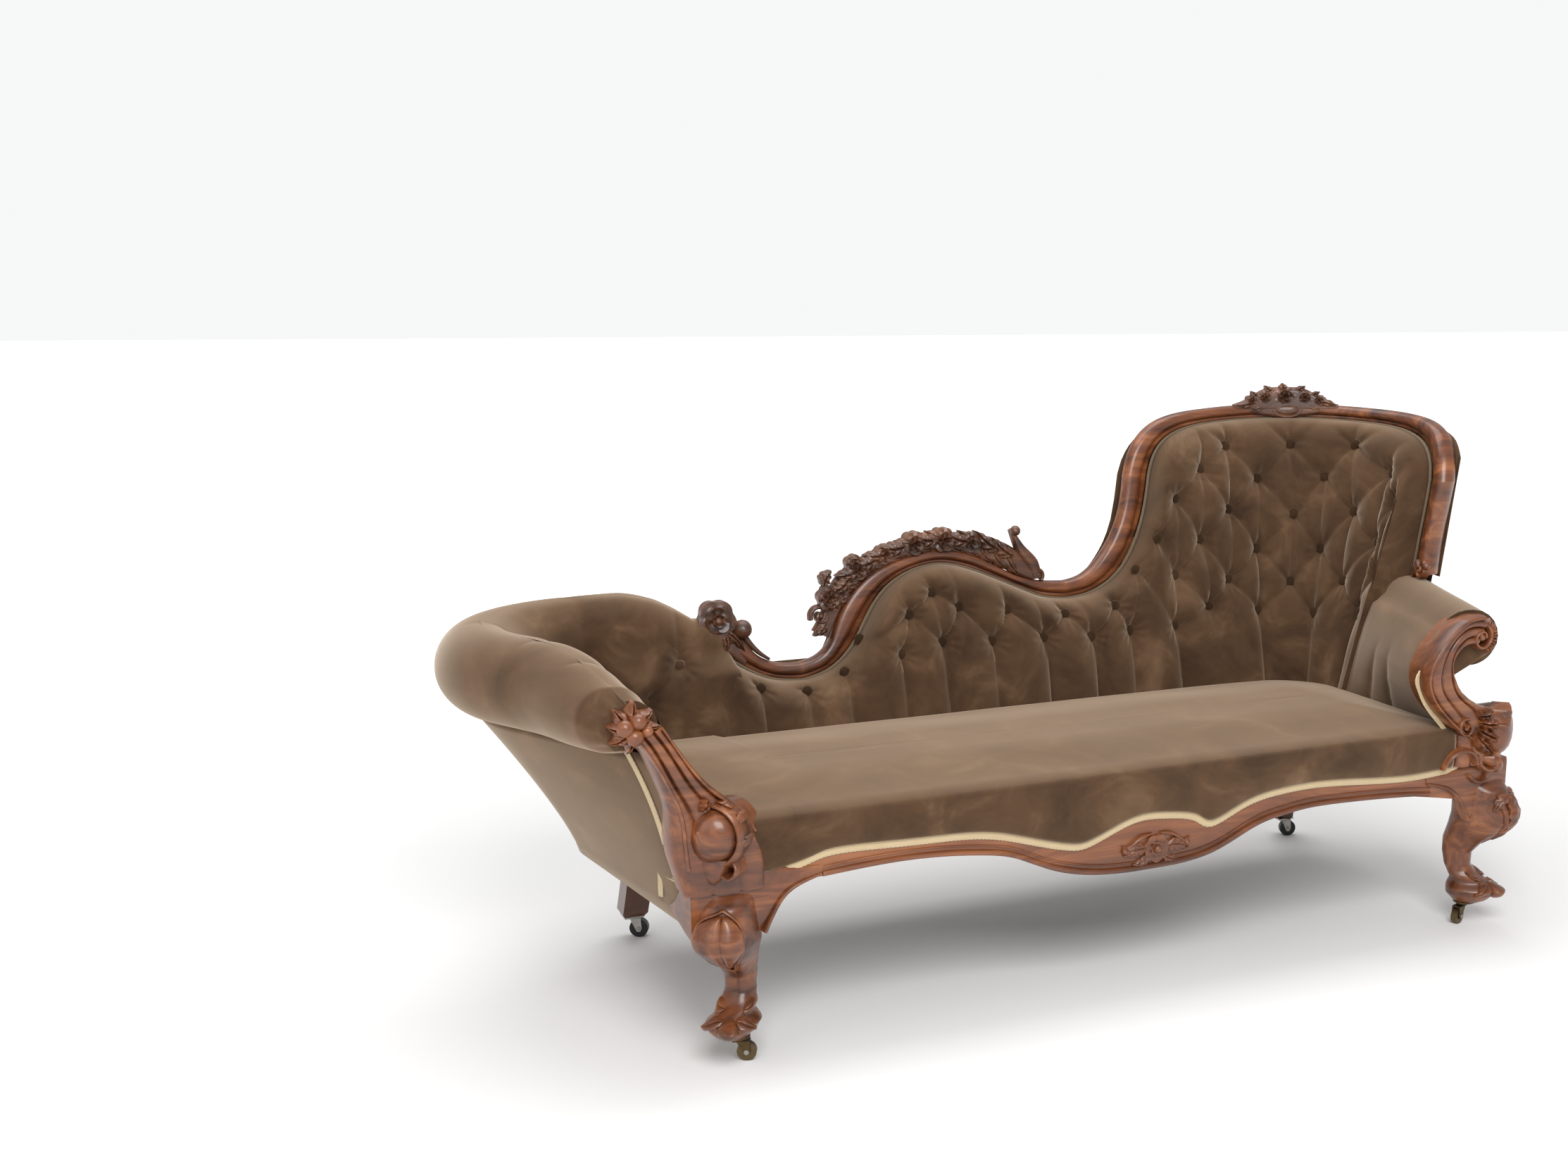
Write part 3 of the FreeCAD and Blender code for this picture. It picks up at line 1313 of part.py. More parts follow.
spring = spring_solid()
print("least self-gap of a seat spring: %.2f mm" % spring_self_gap())
springs = []
for x in spring_columns:
    for y in spring_rows:
        copy = spring.copy()
        copy.translate(Vector(x, y, 0))
        springs.append(copy)
solid_node("seat_springs", Part.makeCompound(springs))

stretchers = []
for number, x in enumerate((-255, 45, 345)):
    bar = document.addObject("Part::Box", "Stretcher%d" % number)
    bar.Placement = Placement(Vector(x - 12, inner_front_y, rail_low + 14), Rotation())
    bar.Width = 1
    bound(
        bar, "stretcher_%d" % number,
        Length="0.8 * Dimensions.rail_thickness", Height="1.2 * Dimensions.rail_thickness",
        Width="Dimensions.back_y + Dimensions.back_lean * (Dimensions.rail_top_z - Dimensions.back_level)"
        " + Dimensions.rail_setback - Dimensions.rail_thickness - Dimensions.frame_front_y"
        " - Dimensions.front_rail_thickness",
    )
    stretchers.append(bar)
stretcher_group = document.addObject("Part::Compound", "SeatStretchers")
stretcher_group.Links = stretchers
stretcher_group.Label = "seat_stretchers"
nodes.append(stretcher_group)
document.recompute()

# Glued corner blocks with their screws.

block_low = rail_low + 8
block_high = rail_top - 12
left_inner_x = left_leg_x + block / 2
right_inner_x = right_leg_x - block / 2
block_plans = [
    [Vector(left_inner_x, inner_front_y, 0), Vector(left_inner_x + 26, inner_front_y, 0),
     Vector(left_inner_x, inner_front_y + 26, 0)],
    [Vector(right_inner_x, inner_front_y, 0), Vector(right_inner_x - 26, inner_front_y, 0),
     Vector(right_inner_x, inner_front_y + 26, 0)],
    [Vector(left_top_centre.x + rear_side / 2, rear_inner_y, 0),
     Vector(left_top_centre.x + rear_side / 2 + 60, rear_inner_y, 0),
     Vector(left_top_centre.x + rear_side / 2, left_top_centre.y - rear_side / 2, 0)],
]
blocks = []
block_screws = []
for plan in block_plans:
    body = flat_solid(plan, block_low, block_high)
    middle = (plan[0] + plan[1] + plan[2]) * (1 / 3)
    wall = Vector(0, -1, 0) if middle.y < 0 else Vector(0, 1, 0)
    for height in (block_low + 12, block_high - 12):
        start = Vector((plan[0].x * 2 + plan[1].x) / 3, 0, 0)
        slope = (plan[0].x - start.x) / (plan[0].x - plan[1].x)
        start.y = plan[2].y + (plan[1].y - plan[2].y) * slope
        start.z = height
        block_screws.append(screw_solid(start, wall, 24, 3.6))
    blocks.append(largest(body.cut([left_rear_leg, left_rail_body])))
block_screw_group = Part.makeCompound(block_screws)
blocks = [largest(body.cut(block_screw_group)) for body in blocks]
solid_node("corner_blocks", Part.makeCompound(blocks))
solid_node("corner_block_screws", block_screw_group)
for rail in (front_rail, left_rail):
    rail.Shape = rail.Shape.cut(block_screw_group)

# Castors: a fixed pintle under a plate, a turning fork, an axle and a wheel.

pintle = size("pintle_radius")
axle = size("axle_radius")
running = size("running_clearance")
end_play = size("end_clearance")
cheek = size("cheek_thickness")
trail = size("castor_trail")
hub_radius = 8
castor_sets = [
    ("front_left", Vector(left_leg_x, leg_y, 0), -25, "front", -1),
    ("front_right", Vector(right_leg_x, leg_y, 0), -158, "front", 1),
    ("rear_left", left_foot_centre, -25, "rear", 0),
    ("rear_right", right_foot_centre, -20, "rear", 0),
]


def castor_sizes(kind):
    wheel_radius = size(kind + "_wheel_radius")
    wheel_width = size(kind + "_wheel_width")
    height = size(kind + "_castor_height")
    bridge_low = 2 * wheel_radius + 1.2
    head = 5 if kind == "front" else 4
    return wheel_radius, wheel_width, height, bridge_low, head


def castor_plate(centre, kind, lean):
    wheel_radius, wheel_width, height, bridge_low, head = castor_sizes(kind)
    if kind == "front":
        middle = centre + Vector(lean * 5 * diagonal, -5 * diagonal, height - plate)
        sheet_part = Part.makeCylinder(20, plate, middle)
    else:
        half = rear_side / 2 - 5
        sheet_part = box_solid(centre.x - half, centre.x + half, centre.y - half, centre.y + half,
                               height - plate, height)
    stem = Part.makeCylinder(pintle, height - plate - (bridge_low - end_play) + 0.5,
                             centre + Vector(0, 0, bridge_low - end_play))
    button = Part.makeCylinder(head, 2, centre + Vector(0, 0, bridge_low - end_play - 2))
    return sheet_part.fuse([stem, button]).removeSplitter().cut(all_screws)


def castor_fork(kind):
    wheel_radius, wheel_width, height, bridge_low, head = castor_sizes(kind)
    half = wheel_width / 2 + end_play
    bridge = box_solid(-hub_radius - 1, trail + 5, -half - cheek, half + cheek, bridge_low, bridge_low + cheek)
    hub_top = height - plate - end_play
    hub = Part.makeCylinder(hub_radius, hub_top - bridge_low, Vector(0, 0, bridge_low))
    cheeks = []
    for side in (-half - cheek, half):
        outline = [Vector(-3, side, bridge_low + 1), Vector(trail + 5, side, bridge_low + 1),
                   Vector(trail + 6, side, wheel_radius), Vector(trail + 3, side, wheel_radius - 6),
                   Vector(trail - 3, side, wheel_radius - 6), Vector(trail - 6, side, wheel_radius)]
        cheeks.append(Part.Face(closed_wire(outline)).extrude(Vector(0, cheek, 0)))
    body = bridge.fuse([hub] + cheeks).removeSplitter()
    bore = Part.makeCylinder(pintle + running, height, Vector(0, 0, bridge_low - 5))
    axle_bore = Part.makeCylinder(axle, 60, Vector(trail, -30, wheel_radius), Vector(0, 1, 0))
    return body.cut([bore, axle_bore])


def castor_axle(kind):
    wheel_radius, wheel_width, height, bridge_low, head = castor_sizes(kind)
    half = wheel_width / 2 + end_play + cheek
    pin = Part.makeCylinder(axle, 2 * half, Vector(trail, -half, wheel_radius), Vector(0, 1, 0))
    ends = [Part.makeCylinder(axle + 1.5, 1.4, Vector(trail, -half - 1.4, wheel_radius), Vector(0, 1, 0)),
            Part.makeCylinder(axle + 1.5, 1.4, Vector(trail, half, wheel_radius), Vector(0, 1, 0))]
    return pin.fuse(ends).removeSplitter()


def castor_wheel(name, kind, seat_placement):
    # A plain wheel with a bore, turned as one body.
    wheel = document.addObject("PartDesign::Body", "Wheel_" + name)
    profile = new_sketch(wheel, "WheelFace_" + name, "XZ_Plane")
    sketch_circle(profile, "0.001", "0.001", "Dimensions.%s_wheel_radius" % kind)
    sketch_circle(profile, "0.001", "0.001", "Dimensions.axle_radius + Dimensions.running_clearance")
    width = wheel.newObject("PartDesign::Pad", "WheelWidth_" + name)
    width.Profile = profile
    width.Midplane = True
    width.setExpression("Length", "Dimensions.%s_wheel_width" % kind)
    wheel.Placement = seat_placement
    wheel.Label = name + "_castor_wheel"
    nodes.append(wheel)


plates = {"front": [], "rear": []}
for name, centre, heading, kind, lean in castor_sets:
    turned = Placement(centre, Rotation(Vector(0, 0, 1), heading))
    plates[kind].append(castor_plate(centre, kind, lean))
    for part_name, maker in (("fork", castor_fork), ("axle", castor_axle)):
        solid_node("%s_castor_%s" % (name, part_name), maker(kind), turned)
    wheel_radius = castor_sizes(kind)[0]
    bearing = turned.multVec(Vector(trail, 0, wheel_radius))
    castor_wheel(name, kind, Placement(bearing, Rotation(Vector(0, 0, 1), heading)))
solid_node("front_castor_plates", Part.makeCompound(plates["front"]))
solid_node("rear_castor_plates", Part.makeCompound(plates["rear"]))

# Braid down the outer edges of the arms.


def cover_gimp(lay_out, heights, width):
    sections = []
    for height in heights:
        sections.append([lay_out(height, 0, 0), lay_out(height, width, 0),
                         lay_out(height, width, gimp_thick), lay_out(height, 0, gimp_thick)])
    return ruled_solid(sections)


def left_gimp(height, back, proud):
    begin = left_point(0, height, -proud - soft_gap)
    return begin + (left_point(0.1, height, -proud - soft_gap) - begin).normalize() * back


def right_gimp(height, back, proud):
    low, high = arm_out_front[1], arm_out_front[2]
    rear_out = arm_out_rear[1][0]
    blend = (height - low[1]) / (high[1] - low[1])
    begin = Vector(low[0] + (high[0] - low[0]) * blend + proud + soft_gap, front_y, height)
    end = rear_arm(rear_out + proud + soft_gap, height)
    return begin + (end - begin) * (back / (end - begin).Length)


left_braid = cover_gimp(left_gimp, [z for z in left_levels if z > leg_top], size("gimp_width"))
right_braid = cover_gimp(right_gimp, [348, 372, 396, 418], size("gimp_width"))
solid_node("arm_gimps", Part.makeCompound([left_braid, right_braid]))

document.recompute()
for item in document.Objects:
    if "Invalid" in item.State or "Error" in item.State:
        raise RuntimeError("failed: " + item.Label)
os.makedirs("parts", exist_ok=True)
for node in nodes:
    if node.Shape.isNull() or not node.Shape.isValid():
        raise RuntimeError("bad shape: " + node.Label)
    node.Shape.exportStep("parts/" + node.Label + ".step")
    box = node.Shape.BoundBox
    print("%-26s solids %3d  volume %10.1f  x %7.1f %7.1f  y %7.1f %7.1f  z %6.1f %6.1f" % (
        node.Label, len(node.Shape.Solids), node.Shape.Volume,
        box.XMin, box.XMax, box.YMin, box.YMax, box.ZMin, box.ZMax))
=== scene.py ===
import math
import bpy
import numpy as np
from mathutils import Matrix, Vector


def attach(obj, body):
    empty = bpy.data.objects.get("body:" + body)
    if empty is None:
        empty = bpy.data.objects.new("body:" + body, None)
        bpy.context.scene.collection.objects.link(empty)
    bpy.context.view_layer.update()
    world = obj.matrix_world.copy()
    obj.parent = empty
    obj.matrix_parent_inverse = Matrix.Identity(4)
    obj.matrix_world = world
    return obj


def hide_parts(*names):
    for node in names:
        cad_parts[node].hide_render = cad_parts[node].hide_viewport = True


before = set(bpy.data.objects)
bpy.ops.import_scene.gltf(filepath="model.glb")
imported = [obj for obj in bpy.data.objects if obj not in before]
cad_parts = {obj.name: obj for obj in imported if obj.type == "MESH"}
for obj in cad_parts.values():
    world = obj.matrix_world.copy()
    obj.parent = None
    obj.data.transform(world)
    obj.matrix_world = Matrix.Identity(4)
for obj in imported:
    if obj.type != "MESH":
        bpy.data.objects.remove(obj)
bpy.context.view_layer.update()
bpy.ops.object.select_all(action="DESELECT")
print("frame loaded")

# Lines of the couch, in millimetres in the couch's own frame.
couch = {
    "backY": 263.0, "backLevel": 400.0, "backLean": 0.12,
    "cornerX": 650.0, "cornerRadius": 210.0, "cornerTurn": math.radians(104),
    "frameDepth": 38.0, "frontY": -310.0, "railTop": 345.0,
    "legX": (-600.0, 810.0), "legY": -279.0,
    "highMiddle": 750.0, "crestZ": 932.0, "humpZ": 680.0,
    "rollLow": 505.0, "leftFoot": 225.0, "leftJoinX": -485.0,
}
cornerCentre = (couch["cornerX"], couch["backY"] - couch["cornerRadius"])
cornerEnd = couch["cornerX"] + couch["cornerRadius"] * couch["cornerTurn"]
middle = couch["highMiddle"]


def backNormal(along):
    turn = np.clip((np.asarray(along, float) - couch["cornerX"]) / couch["cornerRadius"], 0,
                   couch["cornerTurn"])
    return np.sin(turn), np.cos(turn)


def backPoint(along, height, out=0.0):
    along, height, out = np.broadcast_arrays(np.asarray(along, float), height, out)
    nx, ny = backNormal(along)
    past = np.maximum(along - cornerEnd, 0)
    straight = along <= couch["cornerX"]
    footX = np.where(straight, along, cornerCentre[0] + nx * couch["cornerRadius"])
    footX = footX + math.cos(couch["cornerTurn"]) * past
    footY = np.where(straight, couch["backY"], cornerCentre[1] + ny * couch["cornerRadius"])
    footY = footY - math.sin(couch["cornerTurn"]) * past
    shift = couch["backLean"] * (height - couch["backLevel"]) + out
    return np.stack([footX + nx * shift, footY + ny * shift, height], axis=-1)


def ease(x):
    x = np.clip(x, 0, 1)
    return x * x * (3 - 2 * x)


def circle(count):
    return np.linspace(0, 2 * math.pi, count, endpoint=False)


def between(first, last, share):
    return first + (last - first) * share


def unit(v):
    return v / np.linalg.norm(v, axis=-1, keepdims=True)


def runAlong(path):
    # Length run at each point of a path.
    return np.concatenate([[0], np.cumsum(np.linalg.norm(np.diff(path, axis=0), axis=1))])


def smoothLine(points, count):
    # Even steps along a smooth curve through a few points.
    p = np.array(points, float)
    step = np.sqrt(np.linalg.norm(np.diff(p, axis=0), axis=1))
    t = np.concatenate([[0], np.cumsum(step)])
    h = np.diff(t)
    n = len(p)
    a = np.zeros((n, n))
    b = np.zeros((n, p.shape[1]))
    a[0, 0] = a[-1, -1] = 1
    for i in range(1, n - 1):
        a[i, i - 1], a[i, i], a[i, i + 1] = h[i - 1], 2 * (h[i - 1] + h[i]), h[i]
        b[i] = 6 * ((p[i + 1] - p[i]) / h[i] - (p[i] - p[i - 1]) / h[i - 1])
    m = np.linalg.solve(a, b)
    s = np.linspace(0, t[-1], 2000)
    k = np.clip(np.searchsorted(t, s) - 1, 0, n - 2)
    u, w, hk = (s - t[k])[:, None], (t[k + 1] - s)[:, None], h[k][:, None]
    c = m[k] * w ** 3 / (6 * hk) + m[k + 1] * u ** 3 / (6 * hk)
    c += (p[k] / hk - m[k] * hk / 6) * w + (p[k + 1] / hk - m[k + 1] * hk / 6) * u
    run = runAlong(c)
    even = np.linspace(0, run[-1], count)
    return np.stack([np.interp(even, run, c[:, j]) for j in range(c.shape[1])], axis=1)


# Making objects: every finished piece sits at the origin with its place in its mesh.
def finishPiece(obj, material, stands, smoothAngle=None):
    obj.data.materials.clear()
    obj.data.materials.append(material)
    bpy.ops.object.select_all(action="DESELECT")
    obj.select_set(True)
    bpy.context.view_layer.objects.active = obj
    if smoothAngle is None:
        bpy.ops.object.shade_smooth()
    else:
        bpy.ops.object.shade_smooth_by_angle(angle=math.radians(smoothAngle))
    obj.select_set(False)
    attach(obj, "couch")
    if stands:
        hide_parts(*stands)
    return obj


def meshObject(name, verts, faces, uv=None):
    mesh = bpy.data.meshes.new(name)
    mesh.from_pydata([tuple(v) for v in np.asarray(verts) / 1000.0], [], faces)
    mesh.update()
    obj = bpy.data.objects.new(name, mesh)
    bpy.context.scene.collection.objects.link(obj)
    if uv is not None:
        layer = mesh.uv_layers.new(name="Run")
        loops = np.empty(len(mesh.loops), dtype=int)
        mesh.loops.foreach_get("vertex_index", loops)
        layer.data.foreach_set("uv", np.asarray(uv)[loops].ravel())
    return obj


def signedVolume(verts, faces):
    v = np.asarray(verts)
    t = np.array([(f[0], f[i], f[i + 1]) for f in faces for i in range(1, len(f) - 1)])
    return float(np.einsum("ij,ij->i", v[t[:, 0]], np.cross(v[t[:, 1]], v[t[:, 2]])).sum())


def loft(sections):
    # sections: stations x corners x 3, each a closed outline; the first and last are capped.
    s = np.asarray(sections, float)
    count, ring, _ = s.shape
    verts = np.vstack([s.reshape(-1, 3), s[0].mean(axis=0), s[-1].mean(axis=0)])
    first, last = count * ring, (count - 1) * ring
    pairs = [(k, (k + 1) % ring) for k in range(ring)]
    faces = [(i + k, i + m, i + ring + m, i + ring + k) for i in range(0, last, ring) for k, m in pairs]
    for k, m in pairs:
        faces += [(m, k, first), (last + k, last + m, first + 1)]
    if signedVolume(verts, faces) < 0:
        faces = [tuple(reversed(f)) for f in faces]
    return verts, faces


def joinParts(parts):
    verts, faces, base = [], [], 0
    for v, f in parts:
        verts.append(np.asarray(v, float))
        faces += [tuple(i + base for i in face) for face in f]
        base += len(v)
    return np.vstack(verts), faces


def loftedPiece(name, sections, material, stands, smoothAngle=None):
    return finishPiece(meshObject(name, *loft(sections)), material, stands, smoothAngle)


def paddedPiece(name, sections, node, smoothAngle=None):
    obj = loftedPiece(name, sections, velvet, [node], smoothAngle)


def sheetPiece(name, sections, node):
    obj = loftedPiece(name, sections, velvet, [node])


def lathe(profile, origin, axis, steps):
    # profile: (radius, rise) pairs from base to tip, turned about axis through origin.
    axis = np.array(Vector(axis).normalized())
    helper = np.array([0, 0, 1.0]) if abs(axis[2]) < 0.9 else np.array([1.0, 0, 0])
    u = unit(np.cross(axis, helper))
    w = np.cross(axis, u)
    angle = circle(steps)[:, None]
    around = u * np.cos(angle) + w * np.sin(angle)
    return loft([np.array(origin) + axis * rise + around * max(radius, 0.05) for radius, rise in profile])


def tube(path, radius, sides):
    # A round cord along a path.
    p = np.asarray(path, float)
    t = unit(np.gradient(p, axis=0))
    u = np.cross(t, np.array([0, 0, 1.0]))
    u[np.linalg.norm(u, axis=1) < 1e-3] = (1, 0, 0)
    u = unit(u)
    for i in range(1, len(u)):
        if np.dot(u[i], u[i - 1]) < 0:
            u[i] = -u[i]
    w = np.cross(t, u)
    angle = circle(sides)[None, :, None]
    return loft(p[:, None, :] + radius * (u[:, None, :] * np.cos(angle) + w[:, None, :] * np.sin(angle)))


# Shared shading effects.
def feed(tree, node, values):
    # Each input gets a value, or a link where the value is another node's output.
    for label, value in values.items():
        if isinstance(value, bpy.types.NodeSocket):
            tree.links.new(value, node.inputs[label])
        else:
            node.inputs[label].default_value = value


def addNode(tree, kind, values=None, **settings):
    node = tree.nodes.new("ShaderNode" + kind)
    for name, value in settings.items():
        setattr(node, name, value)
    feed(tree, node, values or {})
    return node


def newGroup(name, inputs, outputs):
    group = bpy.data.node_groups.new(name, "ShaderNodeTree")
    for label, value in inputs:
        socket = group.interface.new_socket(label, in_out="INPUT", socket_type="NodeSocketFloat")
        socket.default_value = value
    for label in outputs:
        group.interface.new_socket(label, in_out="OUTPUT", socket_type="NodeSocketFloat")
    return group, group.nodes.new("NodeGroupInput"), group.nodes.new("NodeGroupOutput")


def mathNode(tree, kind, a, b):
    return addNode(tree, "Math", {0: a, 1: b}, operation=kind).outputs[0]


def mixColour(tree, factor, a, b):
    a, b = [(*c, 1) if isinstance(c, tuple) else c for c in (a, b)]
    return addNode(tree, "Mix", {0: factor, 6: a, 7: b}, data_type="RGBA").outputs[2]


def noiseNode(tree, coord, scale, detail=3.0, rough=0.55, distortion=0.0):
    values = {"Vector": coord, "Scale": scale, "Detail": detail, "Roughness": rough, "Distortion": distortion}
    return addNode(tree, "TexNoise", values).outputs["Fac"]


def waveNode(tree, coord, direction, scale, distortion):
    values = {"Vector": coord, "Scale": scale, "Distortion": distortion}
    return addNode(tree, "TexWave", values, bands_direction=direction).outputs["Fac"]


def rampNode(tree, factor, stops):
    node = addNode(tree, "ValToRGB", {"Fac": factor})
    ramp = node.color_ramp
    while len(ramp.elements) < len(stops):
        ramp.elements.new(0.5)
    for element, (place, colour) in zip(ramp.elements, stops):
        element.position = place
        element.color = (*colour, 1)
    return node.outputs["Color"]


def objectCoord(tree, stretch=(1, 1, 1)):
    coord = addNode(tree, "TexCoord").outputs["Object"]
    return addNode(tree, "Mapping", {"Vector": coord, "Scale": stretch}).outputs["Vector"]


def bump(tree, height, strength, distance):
    return addNode(tree, "Bump", {"Height": height, "Strength": strength, "Distance": distance}).outputs[0]


def srgb(*colour):
    shares = [c / 255 for c in colour]
    return tuple(c / 12.92 if c <= 0.04045 else ((c + 0.055) / 1.055) ** 2.4 for c in shares)


def makePileGroup():
    # Nap of the velvet: broad brushed patches and fine pile.
    group, given, out = newGroup("velvetPile", [("Patch Scale", 9.0), ("Pile Scale", 900.0)],
                                 ["Brushed", "Pile"])
    coord = objectCoord(group)
    feed(group, out, {0: noiseNode(group, coord, given.outputs[0], 4.0, 0.6, 0.6),
                      1: noiseNode(group, coord, given.outputs[1], 2.0, 0.7)})
    return group


def makeGrainGroup():
    # Figure of the wood: long streaks, fine pores and a slow change of tone.
    group, given, out = newGroup("woodGrain", [("Streak Scale", 22.0)], ["Streak", "Pores", "Tone"])
    feed(group, out, {0: noiseNode(group, objectCoord(group, (0.12, 1, 1)), given.outputs[0], 6.0, 0.62, 1.2),
                      1: noiseNode(group, objectCoord(group, (0.05, 1, 1)), 420.0, 2.0, 0.6),
                      2: noiseNode(group, objectCoord(group), 3.5, 2.0)})
    return group


def makeCurvatureGroup():
    # Masks of hollows and of edges, from how the surface turns; the colour is darkened in the hollows and
    # lightened on the edges.
    group, given, out = newGroup("carvingCurvature", [("Depth", 1.0)], ["Hollow", "Edge"])
    turn = addNode(group, "NewGeometry").outputs["Pointiness"]
    for place, (a, b) in enumerate(((0.5, turn), (turn, 0.52))):
        steep = mathNode(group, "MULTIPLY", mathNode(group, "SUBTRACT", a, b), 9.0)
        kept = addNode(group, "Clamp", {"Value": steep}).outputs[0]
        feed(group, out, {place: mathNode(group, "MULTIPLY", kept, given.outputs[0])})
    return group


pileGroup = makePileGroup()
grainGroup = makeGrainGroup()
curvatureGroup = makeCurvatureGroup()


def startMaterial(name):
    material = bpy.data.materials.new(name)
    material.use_nodes = True
    tree = material.node_tree
    tree.nodes.clear()
    shader = addNode(tree, "BsdfPrincipled")
    addNode(tree, "OutputMaterial", {0: shader.outputs[0]})
    return material, tree, shader


def addGroup(tree, group, **values):
    return addNode(tree, "Group", values, node_tree=group).outputs


def makeVelvet(name, deep, mid, pale):
    # Painted sheen: the base colour is dark where the pile is looked into and turns pale where it is seen
    # side on.
    material, tree, shader = startMaterial(name)
    pile = addGroup(tree, pileGroup)
    facing = addNode(tree, "LayerWeight", {"Blend": 0.4}).outputs["Facing"]
    brushed = tuple(0.6 * p + 0.4 * m for p, m in zip(pale, mid))
    body = rampNode(tree, pile["Brushed"], [(0.3, deep), (0.56, mid), (1.0, brushed)])
    # Painted sheen: the more side on the surface is seen, the more pale is mixed into the base colour.
    paintedSheen = mathNode(tree, "MULTIPLY", mathNode(tree, "POWER", facing, 1.6), 0.8)
    feed(tree, shader, {
        "Base Color": mixColour(tree, paintedSheen, body, pale), "Roughness": 0.85, "Specular IOR Level": 0.15,
        "Sheen Weight": 0.55, "Sheen Roughness": 0.38, "Sheen Tint": (0.95, 0.86, 0.74, 1),
        "Normal": bump(tree, pile["Pile"], 0.25, 0.0006)})
    return material


def makeWood(name, dark, mid, light, gloss=0.28, coat=0.5):
    material, tree, shader = startMaterial(name)
    grain = addGroup(tree, grainGroup)
    curvature = addGroup(tree, curvatureGroup, Depth=0.8)
    figure = rampNode(tree, grain["Streak"], [(0.3, dark), (0.52, mid), (0.75, light)])
    toned = mixColour(tree, mathNode(tree, "MULTIPLY", grain["Tone"], 0.35), figure, dark)
    # Darker in the hollows and lighter on the edges, from how the surface turns.
    hollowDarkened = mixColour(tree, curvature["Hollow"], toned, tuple(c * 0.18 for c in dark))
    feed(tree, shader, {
        "Base Color": mixColour(tree, mathNode(tree, "MULTIPLY", curvature["Edge"], 0.45), hollowDarkened, light),
        "Roughness": mathNode(tree, "ADD", mathNode(tree, "MULTIPLY", grain["Pores"], 0.18), gloss),
        "Coat Weight": coat, "Coat Roughness": 0.16, "Normal": bump(tree, grain["Pores"], 0.2, 0.0003)})
    return material


def makeCloth(name, colour, shade, scale=700.0):
    material, tree, shader = startMaterial(name)
    coord = objectCoord(tree)
    weave = mathNode(tree, "MULTIPLY", *[waveNode(tree, coord, way, scale, 1.5) for way in ("X", "Z")])
    spots = mathNode(tree, "MULTIPLY", noiseNode(tree, coord, 14.0), 0.4)
    feed(tree, shader, {
        "Base Color": mixColour(tree, spots, mixColour(tree, weave, shade, colour), shade), "Roughness": 0.9,
        "Normal": bump(tree, weave, 0.4, 0.0005)})
    return material


def makeMetal(name, colour, shade, roughness=0.35, metallic=1.0):
    material, tree, shader = startMaterial(name)
    edge = addGroup(tree, curvatureGroup, Depth=0.7)["Edge"]
    tarnish = noiseNode(tree, objectCoord(tree), 60.0, 5.0, 0.65)
    spots = rampNode(tree, tarnish, [(0.35, (0, 0, 0)), (0.7, (1, 1, 1))])
    # Lighter on the edges, from how the surface turns.
    edgeLightened = tuple(min(1, c * 1.5) for c in colour)
    feed(tree, shader, {
        "Base Color": mixColour(tree, edge, mixColour(tree, spots, colour, shade), edgeLightened),
        "Metallic": metallic,
        "Roughness": mathNode(tree, "ADD", mathNode(tree, "MULTIPLY", tarnish, 0.35), roughness - 0.1),
        "Normal": bump(tree, tarnish, 0.15, 0.0003)})
    return material


def makeBraid(name, pale, dark, along=430.0):
    # Woven or twisted threads that follow the run of the piece.
    material, tree, shader = startMaterial(name)
    wave = waveNode(tree, addNode(tree, "UVMap", uv_map="Run").outputs[0], "DIAGONAL", along, 0.6)
    stain = mathNode(tree, "MULTIPLY", noiseNode(tree, objectCoord(tree), 25.0, 4.0), 0.5)
    feed(tree, shader, {
        "Base Color": mixColour(tree, stain, mixColour(tree, wave, dark, pale), dark), "Roughness": 0.8,
        "Sheen Weight": 0.2, "Normal": bump(tree, wave, 0.5, 0.0008)})
    return material


velvet = makeVelvet("velvet", srgb(56, 39, 26), srgb(80, 58, 40), srgb(158, 128, 98))
carvedWood = makeWood("carvedWalnut", srgb(50, 24, 12), srgb(114, 62, 32), srgb(168, 104, 58), 0.3, 0.3)
darkWood = makeWood("darkWalnut", srgb(34, 18, 12), srgb(72, 38, 24), srgb(116, 68, 42))
hiddenWood = makeWood("hiddenBeech", srgb(140, 104, 66), srgb(176, 138, 94), srgb(198, 164, 120), 0.6, 0.0)
canvasCloth = makeCloth("canvas", srgb(196, 178, 140), srgb(150, 130, 96))
juteCloth = makeCloth("juteWebbing", srgb(170, 140, 96), srgb(118, 92, 58), 350.0)
blackCloth = makeCloth("bottomCloth", srgb(40, 38, 36), srgb(22, 21, 20))
braidThread = makeBraid("braid", srgb(232, 214, 176), srgb(176, 150, 110))
cordThread = makeBraid("cord", srgb(150, 128, 98), srgb(78, 60, 42), 260.0)
springSteel = makeMetal("springSteel", srgb(120, 112, 104), srgb(60, 50, 44), 0.45)
screwSteel = makeMetal("screwSteel", srgb(150, 146, 140), srgb(80, 74, 68), 0.35)
bronze = makeMetal("bronze", srgb(92, 76, 52), srgb(44, 36, 26), 0.4)
nickel = makeMetal("nickelSteel", srgb(176, 172, 166), srgb(110, 104, 98), 0.3)
brass = makeMetal("brassWheel", srgb(98, 84, 62), srgb(48, 40, 30), 0.4)
blackWheel = makeMetal("blackWheel", srgb(22, 22, 22), srgb(12, 12, 12), 0.35, 0.0)
print("materials made")

